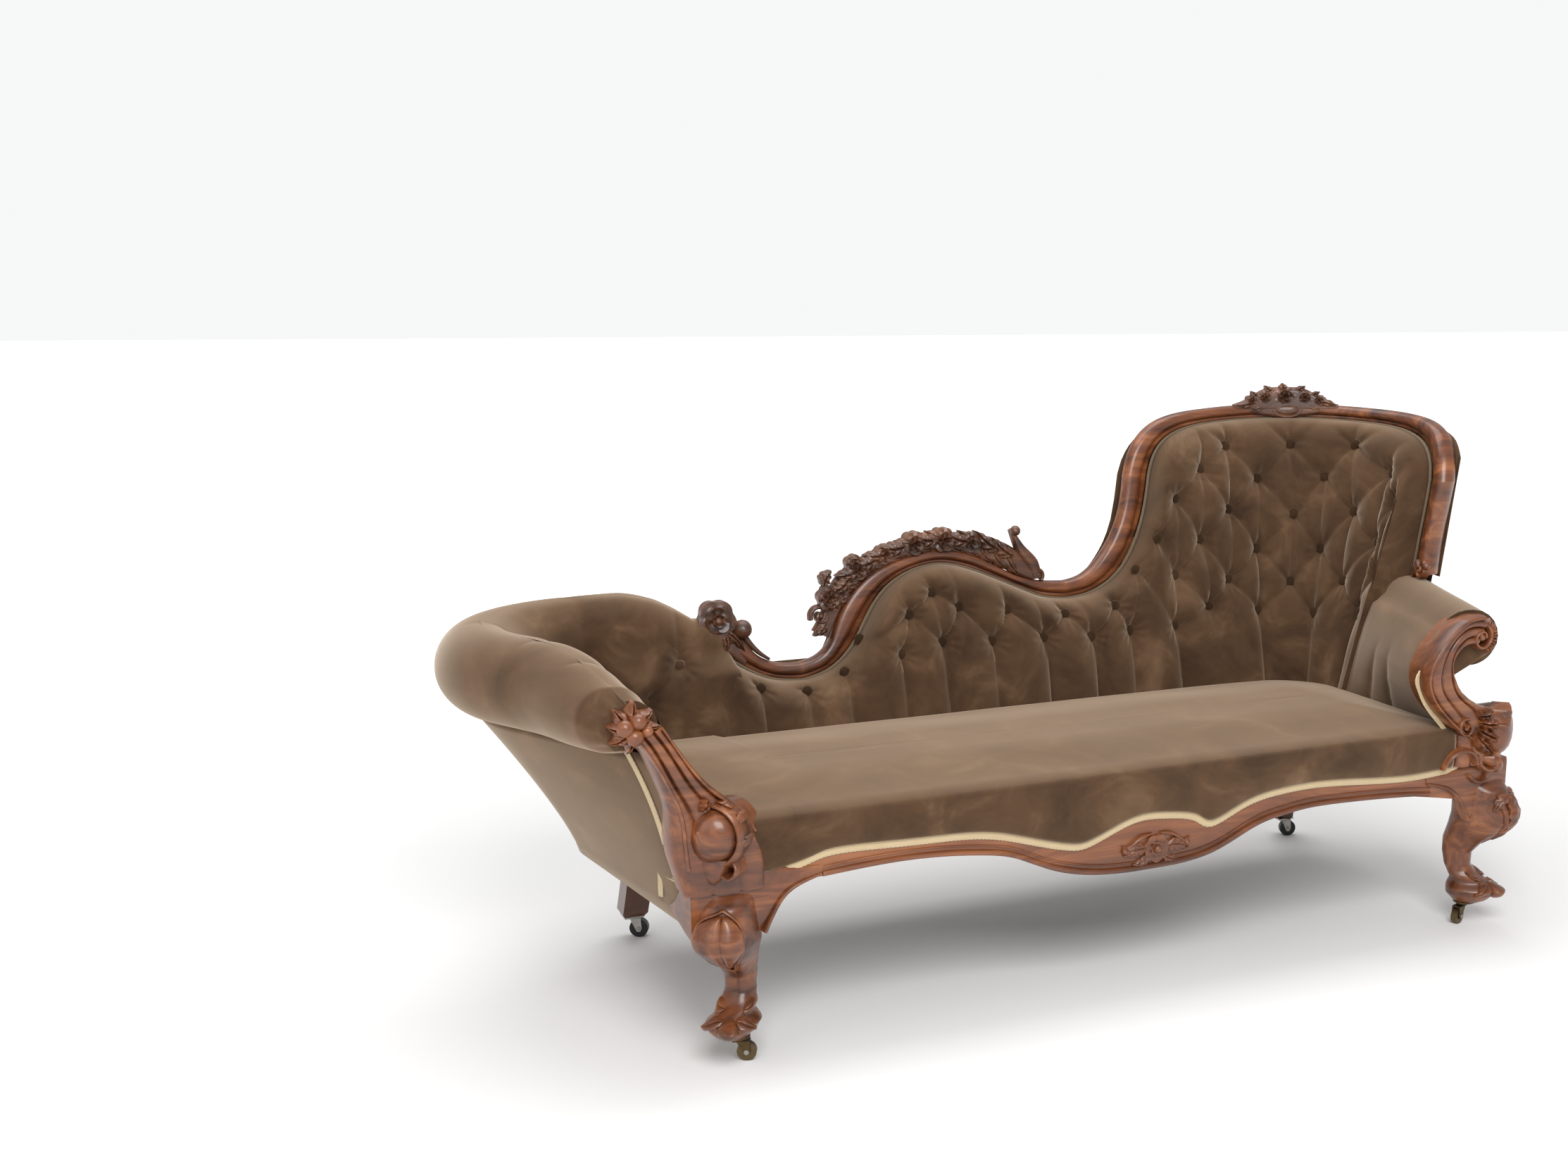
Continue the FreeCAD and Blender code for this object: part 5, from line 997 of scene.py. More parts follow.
# Carver's shapes, cut in a flat (u, v, rise) space and then laid on the couch.
def leafCut(base, tip, width, high, lobes=4, bend=0.0, low=0.0, steps=22, sink=4.0):
    base, tip = np.array(base, float), np.array(tip, float)
    along = tip - base
    across = np.array([-along[1], along[0]]) / np.linalg.norm(along)
    rings = []
    for s in np.linspace(0.02, 1, steps):
        vein = base + along * s + across * bend * math.sin(math.pi * s)
        swell = math.sin(math.pi * min(1, s ** 0.75)) ** 0.8
        half = max(0.6, width / 2 * swell * (0.78 + 0.22 * abs(math.cos(lobes * math.pi * s))))
        lift = low + high * (0.35 + 0.65 * math.sin(math.pi * (0.15 + 0.75 * s)))
        ring = []
        for t in np.linspace(-1, 1, 13):
            rib = 0.10 * high * math.cos(lobes * 2 * math.pi * (s - 0.32 * abs(t)))
            rise = lift * (1 - 0.42 * t * t) - 0.32 * high * math.exp(-(t / 0.13) ** 2)
            rise += rib * min(1, abs(t) * 3)
            ring.append([*(vein + across * half * t), max(rise, low * 0.3 + 0.4)])
        rings.append(ring + [[*(vein + across * half * t), -sink] for t in (0.9, 0.3, -0.3, -0.9)])
    return loft(rings)


def roundRing(centre, reach, angles, rise):
    return np.column_stack([centre[0] + reach * np.cos(angles), centre[1] + reach * np.sin(angles),
                            np.broadcast_to(rise, angles.shape)])


def roseCut(centre, radius, high, petals=5, layers=3, turn=0.0, low=0.0, sink=4.0):
    rings = []
    angles = circle(50)
    for layer in range(layers):
        for q in (0.04, 0.3, 0.6, 0.85, 0.98):
            r = (layer + q) / layers
            cup = np.abs(np.cos(petals / 2 * (angles + turn + layer * math.pi / petals)))
            rise = low + high * (1 - 0.62 * r * r) * (0.62 + 0.38 * q * q) * (0.74 + 0.26 * cup)
            rings.append(roundRing(centre, radius * r * (0.86 + 0.14 * cup), angles, rise))
    for ring in (rings[-1], rings[0]):
        rings.append(np.column_stack([ring[:, :2], np.full(len(ring), -sink)]))
    return loft(rings)


def berryCut(centre, radius, low=0.0):
    lifts = np.radians(np.linspace(-80, 88, 9))
    return loft([roundRing(centre, radius * math.cos(a), circle(16),
                           low + radius * math.sin(a)) for a in lifts])


def stemCut(points, widths, highs, count=60, sink=4.0):
    # A round-faced stem; widths and highs are given at even steps along it.
    path = smoothLine(points, count)
    t = unit(np.gradient(path, axis=0))
    n = np.column_stack([-t[:, 1], t[:, 0]])
    s = np.linspace(0, 1, count)
    half = np.interp(s, np.linspace(0, 1, len(widths)), widths) / 2
    lift = np.interp(s, np.linspace(0, 1, len(highs)), highs)
    shares = np.linspace(-1, 1, 11)
    dome = np.sqrt(np.maximum(0, 1 - (np.abs(shares) * 0.98) ** 2.6))
    rings = []
    for place, side, reach, rise in zip(path, n, half, lift):
        top = np.column_stack([place + side * reach * shares[:, None], rise * dome])
        rings.append(np.vstack([top, [[*(place + side * reach * k), -sink] for k in (0.92, 0, -0.92)]]))
    return loft(rings)


def voluteCut(centre, radius, turns, width, high, start, spin=1, sink=4.0):
    # A spiral that tightens to an eye; start is in degrees.
    count = int(26 * turns) + 8
    share = np.linspace(0, 1, count)
    angle = math.radians(start) + spin * share * turns * 2 * math.pi
    reach = radius * (1 - share) ** 0.85 * 0.82 + radius * 0.18
    points = np.column_stack([centre[0] + reach * np.cos(angle), centre[1] + reach * np.sin(angle)])
    band = stemCut(points, [width, width * 0.8, width * 0.45], [high * 0.75, high * 0.9, high], count, sink)
    return joinParts([band, berryCut(centre, radius * 0.24, high * 0.75)])


def ribbonCut(outer, inner, highs, reeds=0, count=90, sink=6.0):
    # A flat carved member between two edges, its face rounded or reeded.
    a, b = smoothLine(outer, count), smoothLine(inner, count)
    lift = np.interp(np.linspace(0, 1, count), np.linspace(0, 1, len(highs)), highs)
    shares = np.linspace(0, 1, 8 * max(1, reeds) + 7)
    edge = np.minimum(shares, 1 - shares) * 2
    face = 1 - (1 - np.minimum(edge / 0.35, 1)) ** 2.4 * 0.75
    if reeds:
        face = face * (1 - 0.22 * np.exp(-((((shares * reeds + 0.5) % 1) - 0.5) / 0.11) ** 2) * (edge > 0.12))
    rings = []
    for p, q, high in zip(a, b, lift):
        top = p + (q - p) * shares[:, None]
        rings.append(np.vstack([np.column_stack([top, high * face]), [[*q, -sink], [*p, -sink]]]))
    return loft(rings)


def onBack(part, out):
    v, f = part
    return backPoint(v[:, 0], v[:, 1], out - v[:, 2]), f


def onFront(part):
    v, f = part
    return np.column_stack([v[:, 0], couch["frontY"] - v[:, 2], v[:, 1]]), f


def onDisc(part, centre, facing):
    # Lays a cut shape on a plane through centre that looks along facing.
    v, f = part
    across = unit(np.cross((0, 0, 1.0), facing))
    rise = np.cross(facing, across)
    return centre + v[:, :1] * across + v[:, 1:2] * rise + v[:, 2:3] * facing, f


def onLeftSide(part):
    # Laid on the outer face of the left end: (back from the front corner, height, rise).
    v, f = part
    _, _, forward, outward = leftCourse(couch["leftFoot"])
    begin = leftPoint(0, couch["leftFoot"])[:2]
    return np.column_stack([begin + v[:, :1] * forward + (v[:, 2:3] + 1.5) * outward, v[:, 1]]), f


def rightWay(part):
    v, f = part
    return (v, [tuple(reversed(face)) for face in f]) if signedVolume(v, f) < 0 else part


def carvedPiece(name, parts, material, nodes):
    obj = meshObject(name, *joinParts([rightWay(p) for p in parts]))
    finishPiece(obj, material, nodes, 50)


# Carving on the hump: a chain of roses and leaves between two scrolls.
def makeHumpCarving():
    line = smoothLine([(-262, 545), (-243, 575), (-228, 612), (-200, 648), (-150, 676), (-92, 697),
                       (-40, 709), (10, 709), (60, 706), (100, 696), (140, 682), (176, 656), (196, 632)], 200)
    under = smoothLine([(-232, 530), (-214, 566), (-190, 604), (-160, 634), (-120, 655), (-60, 674), (0, 680),
                        (60, 668), (110, 646), (150, 626), (180, 612), (200, 606), (214, 604)], 200)
    middleLine = line * 0.62 + under * 0.38
    cuts = [ribbonCut(line[::8], under[::8], [8, 12, 14, 14, 12, 8], 0, 120, 8)]
    for i, (place, radius, rise) in enumerate([(52, 20, 22), (74, 19, 20), (97, 23, 26), (119, 24, 28),
                                               (140, 20, 22), (157, 15, 17)]):
        cuts.append(roseCut(middleLine[place], radius, rise, 5 + i % 2, 3, i * 0.7, 8))
    for i, place in enumerate(range(24, 180, 12)):
        tip = line[max(0, place - 9)] + (line[place] - under[place]) * (0.04 + 0.05 * (i % 3))
        cuts += [leafCut(middleLine[min(199, place + 7)], tip, 30, 15 + 4 * (i % 2), 4, 5, 6),
                 leafCut(middleLine[place], under[min(199, place + 11)], 24, 10, 3, -4, 5)]
    cuts += [voluteCut((-247, 572), 19, 1.4, 10, 12, 200, -1),
             roseCut((-228, 604), 25, 24, 6, 3, 0.2, 5), roseCut((-176, 662), 19, 20, 5, 3, 1.1, 6),
             leafCut((-240, 626), (-222, 654), 24, 16, 3, 4, 6),
             leafCut((-236, 560), (-262, 536), 20, 10, 3, 3, 4),
             stemCut([(204, 612), (194, 640), (176, 662), (160, 690), (152, 708)], [24, 30, 26, 17, 8],
                     [8, 12, 15, 14, 10]),
             berryCut((158, 706), 10, 12), voluteCut((206, 618), 13, 1.2, 8, 9, -60, 1)]
    carvedPiece("humpCarving", [onBack(c, 6) for c in cuts], darkCarving, ["back_hump_carving"])


def makeCrestCarving():
    cuts = [ribbonCut([(664, 932), (690, 944), (716, 962), (748, 966), (780, 962), (806, 944), (832, 932)],
                      [(664, 924), (700, 920), (730, 918), (750, 918), (770, 918), (800, 920), (832, 924)],
                      [4, 9, 12, 9, 4], 0, 80, 6)]
    for i, (a, h, r, rise) in enumerate([(748, 948, 19, 24), (716, 946, 14, 19), (780, 946, 14, 19),
                                         (694, 940, 11, 15), (803, 940, 11, 15)]):
        cuts.append(roseCut((a, h), r, rise, 5, 3, i * 0.9, 2))
    cuts += [leafCut(a, b, width, rise, 3, 2) for a, b, width, rise in [
        ((700, 936), (668, 930), 18, 11), ((797, 936), (830, 930), 18, 11), ((730, 955), (716, 969), 16, 14),
        ((768, 955), (780, 968), 16, 14), ((748, 960), (744, 974), 16, 16), ((720, 930), (690, 920), 16, 10),
        ((778, 930), (808, 920), 16, 10), ((704, 948), (694, 958), 12, 12), ((794, 948), (803, 957), 12, 12)]]
    cuts.append(stemCut([(672, 925), (700, 922), (752, 921), (800, 922), (826, 925)], [8, 22, 40, 22, 8],
                        [4, 8, 11, 8, 4], 60, 8))
    oval = [(20, -6), (20, 1), (19, 6), (16, 11), (9, 13.5), (0.1, 14)]
    cuts.append(loft([[(752 + r * math.cos(t) * 1.15, 921 + r * math.sin(t) * 0.62, z) for t in circle(32)]
                      for r, z in oval]))
    rim = [(752 + 24 * math.cos(t), 921 + 14 * math.sin(t)) for t in np.linspace(0, 6.2, 14)]
    cuts.append(stemCut(rim, [4, 4], [10, 10]))
    carvedPiece("crestCarving", [onBack(c, -3) for c in cuts], darkCarving, ["crest_carving"])


def makeLeftCarving():
    cuts = [ribbonCut([(-462, 596), (-436, 590), (-410, 560), (-380, 524)],
                      [(-484, 560), (-462, 552), (-436, 524), (-400, 494)], [8, 12, 10, 4], 0, 50),
            roseCut((-446, 582), 36, 22, 5, 3, 0.3, 8), berryCut((-446, 580), 8, 20)]
    cuts += [leafCut(a, b, 22, 12, 4, 4, 6) for a, b in [((-440, 566), (-398, 522)),
                                                         ((-430, 580), (-404, 552)),
                                                         ((-452, 560), (-478, 540)),
                                                         ((-436, 560), (-436, 520))]]
    cuts += [berryCut((-400, 562), 17, 12),
             stemCut([(-402, 560), (-392, 542), (-372, 518), (-350, 502)], [14, 12, 9, 5], [10, 10, 7, 3])]
    carvedPiece("leftRailCarving", [onBack(c, 0) for c in cuts], darkCarving, ["back_left_carving"])


def makeStileEnd():
    # The right stile ends in a small scroll above the arm.
    cuts = [voluteCut((1078, 630), 17, 1.3, 11, 12, 100, -1), berryCut((1094, 640), 8, 4),
            leafCut((1062, 650), (1050, 612), 22, 9, 3, 3, 4)]
    carvedPiece("stileScroll", [onBack(c, -2) for c in cuts], carvedWood, [])


darkCarving = makeWood("darkCarving", srgb(38, 22, 14), srgb(90, 54, 34), srgb(142, 92, 60), 0.34, 0.25)
makeHumpCarving()
makeCrestCarving()
makeLeftCarving()
makeStileEnd()
print("back carving")

# Cabriole front legs, turned to the corner at 45 degrees: (height, reach) of each side.
leg = {
    "front": [(43, 30), (50, 46), (62, 58), (74, 60), (86, 44), (98, 25), (115, 12), (140, 13), (160, 30),
              (180, 60), (205, 80), (225, 84), (252, 74), (278, 62), (300, 56), (322, 56)],
    "back": [(43, -14), (60, -30), (75, -30), (90, -24), (115, -36), (140, -41), (165, -41), (190, -34),
             (215, -29), (322, -29)],
    "half": [(43, 18), (60, 33), (72, 40), (85, 27), (97, 30), (105, 25), (120, 22), (145, 23), (165, 28),
             (181, 36), (204, 46), (225, 46), (260, 42), (322, 40)],
    "levels": 90, "around": 48, "power": 2 / 2.5, "squareFrom": 262.0,
}


def legSection(z, origin, outward, side, angle, lift=0.0):
    # A point on the leg's rounded section at a height, lifted off it by lift.
    front, rear, half = (np.interp(z, *np.array(leg[key], float).T) for key in ("front", "back", "half"))
    c, s = np.cos(angle), np.sin(angle)
    u = (front + rear) / 2 + ((front - rear) / 2 + lift) * np.sign(c) * np.abs(c) ** leg["power"]
    w = (half + lift) * np.sign(s) * np.abs(s) ** leg["power"]
    return origin + np.multiply.outer(u, outward) + np.multiply.outer(w, side)


def makeShaft(axisX, mirror, origin, outward, side):
    rings = []
    for z in np.linspace(43, 322, leg["levels"]):
        ring = legSection(z, origin, outward, side, circle(leg["around"]))
        if z > leg["squareFrom"]:
            # The top turns into the square corner block of the frame.
            blend = float(ease((z - leg["squareFrom"]) / 30))
            x, y = ring.T
            reach = np.where(mirror * (x - axisX) < 0, 32, 44)
            x = x + (np.clip(x, axisX - reach, axisX + reach) - x) * blend * 0.85
            ring = np.column_stack([x, y + (np.clip(y, -312, -248) - y) * blend])
        rings.append(np.column_stack([ring, np.full(len(ring), z)]))
    return loft(rings)


def makeFrontLegs():
    for name, axisX, mirror, node in (("frontLeftLeg", couch["legX"][0], -1, "front_left_leg"),
                                      ("frontRightLeg", couch["legX"][1], 1, "front_right_leg")):
        outward = np.array([mirror, -1]) / math.sqrt(2)
        side = np.array([-outward[1], outward[0]])
        origin = np.array([axisX, couch["legY"]])
        parts = [makeShaft(axisX, mirror, origin, outward, side)]
        if mirror < 0:
            # Smooth pointed oval with a cut border, husk below it.
            rim = [(0, 266), (-25, 246), (-31, 216), (-19, 182), (0, 158), (19, 182), (31, 216), (25, 246),
                   (0, 266)]
            cuts = [leafCut((0, 260), (0, 168), 56, 14, 0, 0, 3, 26, 2),
                    stemCut(rim, [5, 6, 5], [6, 7, 6], 90, 2),
                    stemCut([(0, 160), (0, 128), (0, 100)], [5, 3.5, 2], [5, 3, 1.5], 30, 2)]
        else:
            cuts = [leafCut((0, 262), (0, 168), 46, 8, 5, 0, 3, 30, 2)]
            for hand in (-1, 1):
                cuts.append(stemCut([(hand * 30, 262), (hand * 26, 225), (hand * 14, 190), (hand * 3, 160)],
                                    [10, 9, 4], [6, 6, 2], 50, 2))
        for hand in (-1, 1):
            if mirror > 0:
                cuts.append(leafCut((hand * 8, 262), (hand * 46, 232), 20, 7, 3, hand * 5, 1, 22, 2))
            cuts += [leafCut((hand * 12, 84), (hand * 52, 62), 17, 7, 0, hand * 4, 1, 18, 2),
                     leafCut((hand * 16, 96), (hand * 44, 106), 13, 6, 0, -hand * 3, 1, 18, 2)]
        cuts.append(berryCut((0, 72), 15, 4))
        turnIn = 0.32 if mirror < 0 else -0.2
        for v, f in cuts:
            place = legSection(v[:, 1], origin, outward, side, v[:, 0] / 42.0 + turnIn, v[:, 2])
            parts.append((np.column_stack([place, v[:, 1]]), f))
        out = -54 if mirror > 0 else -70
        upper, lower, edge = ([(axisX - mirror * a, h) for a, h in line] for line in (
            [(out, 322), (-14, 322), (40, 322), (82, 309), (132, 306)],
            [(out, 262), (-14, 205), (36, 222), (66, 268), (128, 290)],
            [(34, 214), (52, 248), (76, 274), (128, 291)]))
        parts += [onFront(ribbonCut(upper, lower, [3, 9, 8, 5, 1.5], 0, 80, 14)),
                  onFront(stemCut(edge, [9, 8, 7, 5], [13, 12, 9, 5], 60, 6))]
        if mirror < 0:
            parts.append(onLeftSide(ribbonCut([(-4, 322), (30, 300), (62, 262), (84, 248)],
                                              [(-4, 205), (24, 214), (52, 226), (84, 236)], [8, 7, 5, 3], 0,
                                              40, 12)))
        else:
            parts.append(onFront(stemCut([(768, 300), (788, 286), (806, 292), (808, 310)], [10, 11, 10, 8],
                                         [16, 20, 20, 16], 50, 4)))
        carvedPiece(name, parts, carvedWood, [node])


makeFrontLegs()


# Arm supports: the left one under the rosette and the reeded S-scroll on the right.
def makeLeftSupport():
    outer = [(-684, 286), (-692, 318), (-700, 352), (-704, 413), (-716, 454), (-741, 514), (-755, 534)]
    inner = [(-560, 286), (-560, 318), (-564, 352), (-590, 402), (-640, 444), (-680, 500), (-712, 548)]
    cuts = [ribbonCut(outer, inner, [14, 16, 16, 20, 25, 28, 30], 3, 120, 44),
            stemCut([(-680, 330), (-683, 360), (-688, 410), (-704, 454), (-734, 513), (-748, 532)],
                    [9, 9, 9, 8, 7, 6], [20, 22, 26, 30, 32, 32], 80, 2),
            stemCut([(-578, 376), (-598, 406), (-644, 448), (-680, 494), (-712, 546)], [8, 9, 9, 8, 6],
                    [18, 24, 28, 31, 32], 80, 2)]
    cuts += [leafCut((-752, 548), (x, z), width, 26, 3, 2, 4, 20, 4) for x, z, width in [
        (-786, 552, 24), (-776, 576, 24), (-748, 586, 24), (-722, 572, 22), (-784, 528, 22), (-762, 512, 20),
        (-712, 548, 18)]]
    cuts += [berryCut((x, z), r, 27) for x, z, r in [(-765, 552, 13), (-746, 560, 12), (-752, 538, 13),
                                                     (-734, 545, 9)]]
    cuts += [leafCut(a, b, 20, 30, 3, 3, 6, 20, 2) for a, b in [
        ((-640, 430), (-606, 404)), ((-650, 436), (-664, 418)), ((-632, 424), (-596, 388))]]
    carvedPiece("leftSupport", [onFront(c) for c in cuts], carvedWood, ["left_arm_support"])


def makeRightSupport():
    outer = [(834, 318), (836, 352), (822, 395), (800, 421), (769, 434), (735, 455), (706, 493), (708, 520),
             (730, 540), (752, 540)]
    inner = [(736, 318), (737, 352), (730, 385), (699, 415), (667, 450), (652, 486), (659, 521), (688, 560),
             (734, 590), (776, 588)]
    rim = [(760, 372), (728, 392), (697, 417), (665, 452), (652, 486), (660, 521), (690, 559), (733, 587),
           (768, 590)]
    cuts = [ribbonCut(outer, inner, [16, 18, 22, 25, 26, 26, 27, 28], 3, 140, 30),
            stemCut(rim, [7, 8, 8, 8, 9, 10, 12, 13, 12], [24, 28, 30, 30, 30, 31, 31, 31, 30], 140, 2),
            voluteCut((764, 556), 27, 1.35, 14, 32, 120, -1, 4)]
    for k in range(6):
        heading = np.array([math.cos(math.radians(62 - k * 24)), math.sin(math.radians(62 - k * 24))])
        cuts.append(leafCut((768, 556) + 18 * heading, (766, 556) + 37 * heading, 15, 22, 0, 0, 6, 12, 4))
    cuts += [voluteCut((744, 392), 18, 1.2, 10, 32, 60, 1, 2),
             stemCut([(706, 316), (718, 338), (742, 350), (766, 342), (776, 322)], [7, 12, 14, 13, 10],
                     [18, 24, 28, 29, 27], 60, 6)]
    cuts += [leafCut(a, b, width, 30, 4, -4, 8, 26, 2) for a, b, width in [
        ((768, 412), (800, 424), 24), ((772, 400), (826, 398), 28), ((770, 388), (832, 362), 28),
        ((766, 378), (812, 336), 24)]]
    cuts += [berryCut((826, 314), 14, 14),
             stemCut([(776, 338), (786, 318), (806, 308), (826, 312)], [10, 12, 13, 10], [26, 29, 28, 22],
                     50, 4)]
    carvedPiece("rightSupport", [onFront(c) for c in cuts], carvedWood, ["right_arm_support"])


# Turned bosses that look out of each front corner: (radius, rise) of drum, ring and dome.
boss = {
    "height": 377.0, "leftOut": 58.0, "rightOut": 36.0, "steps": 72, "leftScale": 1.12,
    "left": [(38, -66), (42, -40), (45, -20), (46.5, -6), (47, 3), (45.6, 8), (42.5, 11.4), (39.8, 10.6),
             (38.2, 6.5), (37, 5.2), (36, 7.5), (34.2, 13.5), (30.5, 19.5), (24, 25.5), (15, 30), (7, 32),
             (0.5, 32.4)],
    "right": [(38, -60), (43, -30), (47, -12), (48, 0), (46, 12), (40, 21), (30, 28), (16, 32), (0.5, 33)],
}


def bossCorner(axisX, hand, out, profile):
    facing = np.array([hand, -1, 0]) / math.sqrt(2)
    base = np.array([axisX, couch["legY"], boss["height"]]) + facing * out
    parts = [lathe(profile, base, facing, boss["steps"])]
    edge = [(30, -34), (24, -50), (14, -66), (4, -74)]
    inner, outer = [[(spin * x, z) for x, z in edge] for spin in (-1, 1)]
    apron = ribbonCut(inner, outer, [14, 15, 13, 8], 0, 50, 40)
    scrolls = [stemCut([(spin * 34, -38), (spin * 40, -50), (spin * 30, -62), (spin * 14, -58)], [6, 9, 8, 6],
                       [6, 12, 13, 10], 40, 20) for spin in (-1, 1)]
    return parts + [onDisc(cut, base, facing) for cut in [apron] + scrolls], base, facing


def makeBosses():
    left = [(r * boss["leftScale"], rise) for r, rise in boss["left"]]
    parts, base, facing = bossCorner(couch["legX"][0], -1, boss["leftOut"], left)
    for turn, length in ((24, 26), (-16, 24), (-62, 22), (-118, 22)):
        a, reach = math.radians(turn), 44 + length * 0.5
        leaf = leafCut((44 * math.cos(a), 44 * math.sin(a)),
                       (reach * math.cos(a + 0.3), reach * math.sin(a + 0.3)), 20, 12, 2, 2, 2, 18, 12)
        parts.append(onDisc(leaf, base - facing * 8, facing))
    parts.append(onDisc(berryCut((-8, 10), 4.2, 28), base, facing))
    more, base, facing = bossCorner(couch["legX"][1], 1, boss["rightOut"], boss["right"])
    parts += more
    for turn in (-50, -15, 20, 55, 90, 125, 160):
        a = math.radians(turn)
        leaf = leafCut((8 * math.cos(a), 8 * math.sin(a)), (50 * math.cos(a), 50 * math.sin(a)), 32, 12, 4,
                       3, 22, 26, 4)
        parts.append(onDisc(leaf, base - facing * 4, facing))
    carvedPiece("cornerBosses", parts, carvedWood, ["left_arm_support"])


makeLeftSupport()
makeRightSupport()
print("legs, supports and bosses")
makeBosses()


def makeFrontRailTrim():
    low = [(-470, 290), (-319, 296), (-200, 286), (-143, 273), (-89, 249), (7, 224), (114, 220), (225, 231),
           (316, 267), (380, 280), (440, 285), (641, 277), (690, 272)]
    bead = stemCut(low, [9, 10, 10, 10, 9], [5, 6.5, 7, 6.5, 5], 260, 3)
    upper = stemCut([(x, z + 11) for x, z in low], [3, 3.5, 3], [2.4, 2.8, 2.4], 200, 2)
    carvedPiece("frontRailBead", [onFront(bead), onFront(upper)], carvedWood, [])
    middleX = 116
    cuts = [roseCut((middleX, 250), 25, 9, 7, 2, 0.2, 2, 2), berryCut((middleX, 250), 7, 8)]
    for hand in (-1, 1):
        cuts += [leafCut((middleX + hand * a, h), (middleX + hand * b, k), width, rise, lobes, hand * bend,
                         low, steps, 2)
                 for a, h, b, k, width, rise, lobes, bend, low, steps in [
                     (18, 252, 62, 244, 24, 7, 4, 5, 1.5, 24), (30, 246, 66, 262, 17, 6, 3, -4, 1, 20),
                     (12, 238, 44, 226, 18, 6, 3, -3, 1, 20)]]
        cuts += [stemCut([(middleX + hand * a, h) for a, h in [(8, 276), (30, 272), (46, 262), (58, 254)]],
                         [4, 7, 7, 5], [5, 8, 8, 5], 40, 2), berryCut((middleX + hand * 60, 252), 5.5, 3)]
    carvedPiece("railCartouche", [onFront(c) for c in cuts], carvedWood, ["front_rail_cartouche"])


makeFrontRailTrim()


def leftEdgePoint(height, inward, reach):
    # On the left outside cover, a little way behind the front support.
    place = leftPoint(0.0, height, inward)
    return place + unit(leftPoint(0.1, height, inward) - place) * reach


def makeArmBraids():
    # Braid over the edge of the velvet, beside the left support and inside the right one.
    outward = np.array([*leftCourse(430)[3], 0])
    path = [leftEdgePoint(z, -1.6, 52 - (z - 352) * 0.06) for z in np.linspace(352, 506, 60)]
    foot = [leftEdgePoint(268, -2.2, along * 1.5 + 40) + np.array([0, 0, z - 268]) for along, z in
            [(2, 296), (12, 296), (22, 296), (32, 296), (40, 296), (43, 294), (44, 290), (44, 280), (44, 270),
             (44, 262), (44, 254)]]
    edge = smoothLine([(657, 500), (650, 486), (657, 466), (672, 440), (700, 409), (722, 384), (732, 366)],
                      60)
    inside = [(x - 5.5, couch["frontY"] - 1.2, z) for x, z in edge]
    braidStrip("leftArmBraid", path, outward, 12, 2.4, "arm_gimps")
    braidStrip("leftFootBraid", foot, outward, 11, 2.4, "arm_gimps")
    braidStrip("rightArmBraid", inside, (0, -1, 0), 9, 2.6, "arm_gimps")


makeArmBraids()
print("braid and rail carving")

# Materials of the parts that keep their CAD form.
cadMaterials = {
    carvedWood: ["front_rail"], darkWood: ["rear_left_leg", "rear_right_leg"],
    hiddenWood: ["rear_rail", "corner_rail", "left_end_rail", "right_end_rail", "seat_stretchers",
                 "corner_blocks", "back_posts", "left_end_ribs", "left_arm_core", "right_arm_core"],
    canvasCloth: ["back_canvas", "spring_canvas"], juteCloth: ["seat_webbing"], blackCloth: ["bottom_cloth"],
    springSteel: ["seat_springs"], bronze: ["front_castor_plates"], nickel: ["rear_castor_plates"],
    screwSteel: ["corner_block_screws", "castor_screws"], brass: [], blackWheel: [],
}
for corner, metal, tread in (("front_left", bronze, brass), ("front_right", bronze, brass),
                             ("rear_left", nickel, blackWheel), ("rear_right", nickel, blackWheel)):
    cadMaterials[metal].append(corner + "_castor_fork")
    cadMaterials[screwSteel].append(corner + "_castor_axle")
    cadMaterials[tread].append(corner + "_castor_wheel")
for material, names in cadMaterials.items():
    for name in names:
        for place in bpy.data.objects[name].material_slots:
            place.material = material

# Floor, light and camera: each lamp has its place, aim, size and power.
studio = {
    "floorSize": 160.0, "floorTone": (0.93, 0.925, 0.92), "worldStrength": 0.55, "worldSeen": 0.96,
    "worldTone": (0.97, 0.975, 0.98, 1), "fadeTone": (0.97, 0.97, 0.97, 1),
    "fadeFrom": 1.1, "fadeTo": 4.5, "fadePower": 0.85,
    "lamps": {"keyLamp": ((-0.9, -3.0, 2.9), (0.2, 0, 0.5), (2.2, 1.6), 112.0),
              "fillLamp": ((-3.0, -1.6, 1.9), (-0.2, 0, 0.5), (2.0, 1.6), 12.0),
              "topLamp": ((0.0, 0.6, 3.2), (0, 0, 0.4), (3.0, 2.0), 52.0)},
}
photoCamera = {"lens": 38.57, "sensorWidth": 36, "shift": (-0.1192, 0.0885), "place": (-1.298, -2.584, 1.111),
               "tilt": 90 - 13.6, "turn": -25.32}


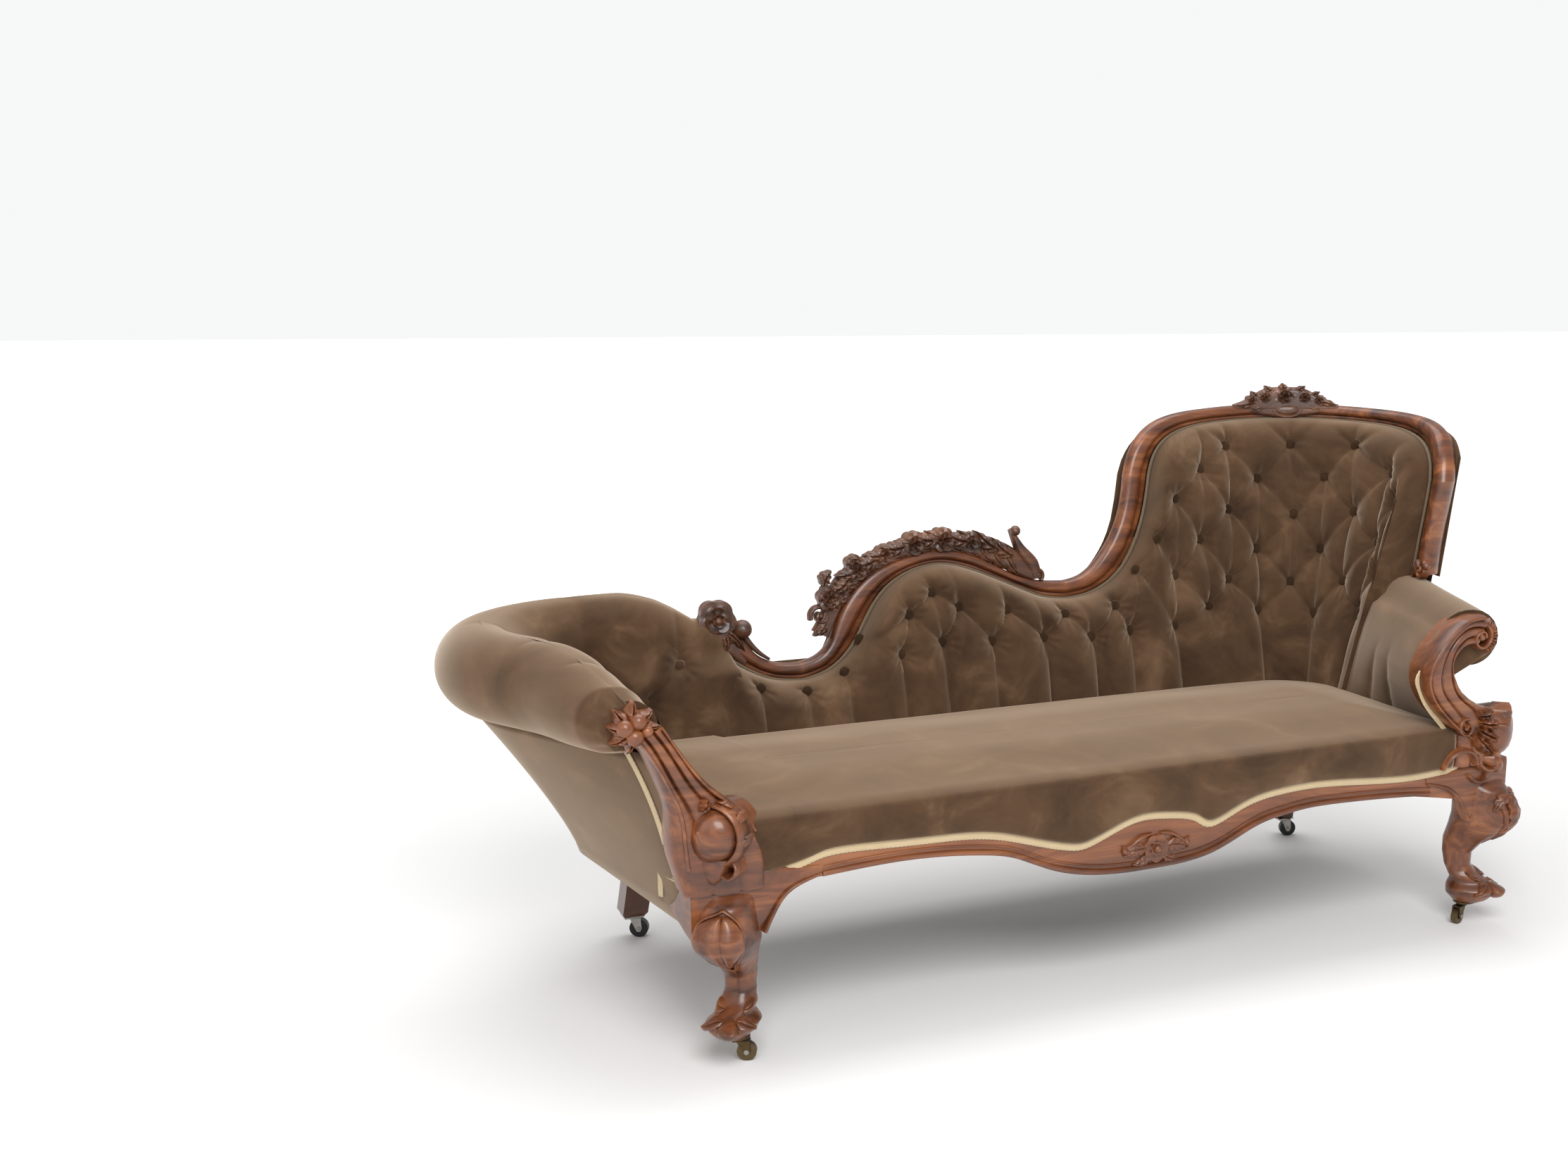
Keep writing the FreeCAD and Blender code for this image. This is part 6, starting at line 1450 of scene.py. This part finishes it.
def makeFloor():
    bpy.ops.object.select_all(action="DESELECT")
    bpy.ops.mesh.primitive_plane_add(size=studio["floorSize"], location=(0, 0, 0))
    floor = bpy.context.object
    floor.name = "studioFloor"
    material, tree, shader = startMaterial("studioFloor")
    # Away from the couch the floor fades to the white of the studio.
    coord = objectCoord(tree)
    away = addNode(tree, "VectorMath", {0: coord}, operation="LENGTH").outputs["Value"]
    limits = {"Value": away, "From Min": studio["fadeFrom"], "From Max": studio["fadeTo"], "To Min": 0.0,
              "To Max": studio["fadePower"]}
    fade = addNode(tree, "MapRange", limits, interpolation_type="SMOOTHSTEP").outputs["Result"]
    tone = studio["floorTone"]
    feed(tree, shader, {
        "Base Color": mixColour(tree, noiseNode(tree, coord, 3.0, 2.0), tone, tuple(c * 0.985 for c in tone)),
        "Roughness": 0.9, "Emission Color": studio["fadeTone"], "Emission Strength": fade})
    floor.data.materials.append(material)


def makeWorld():
    world = bpy.data.worlds.new("studio")
    world.use_nodes = True
    tree = world.node_tree
    path = addNode(tree, "LightPath").outputs
    seen = mathNode(tree, "MAXIMUM", path["Is Camera Ray"], path["Is Transmission Ray"])
    extra = mathNode(tree, "MULTIPLY", seen, studio["worldSeen"] - studio["worldStrength"])
    feed(tree, tree.nodes["Background"], {"Strength": mathNode(tree, "ADD", extra, studio["worldStrength"]),
                                          "Color": studio["worldTone"]})
    bpy.context.scene.world = world


def makeLamps():
    for name, (place, aim, size, power) in studio["lamps"].items():
        data = bpy.data.lights.new(name, "AREA")
        data.shape = "RECTANGLE"
        data.size, data.size_y = size
        data.energy = power
        lamp = bpy.data.objects.new(name, data)
        lamp.location = place
        lamp.rotation_euler = (Vector(aim) - Vector(place)).to_track_quat("-Z", "Y").to_euler()
        bpy.context.scene.collection.objects.link(lamp)


def makeCamera():
    data = bpy.data.cameras.new("photoCamera")
    data.lens = photoCamera["lens"]
    data.sensor_width = photoCamera["sensorWidth"]
    data.shift_x, data.shift_y = photoCamera["shift"]
    camera = bpy.data.objects.new("photoCamera", data)
    camera.location = photoCamera["place"]
    camera.rotation_euler = (math.radians(photoCamera["tilt"]), 0, math.radians(photoCamera["turn"]))
    bpy.context.scene.collection.objects.link(camera)
    bpy.context.scene.camera = camera


makeFloor()
makeWorld()
makeLamps()
makeCamera()
bpy.context.scene.view_settings.view_transform = "Standard"
print("studio ready")
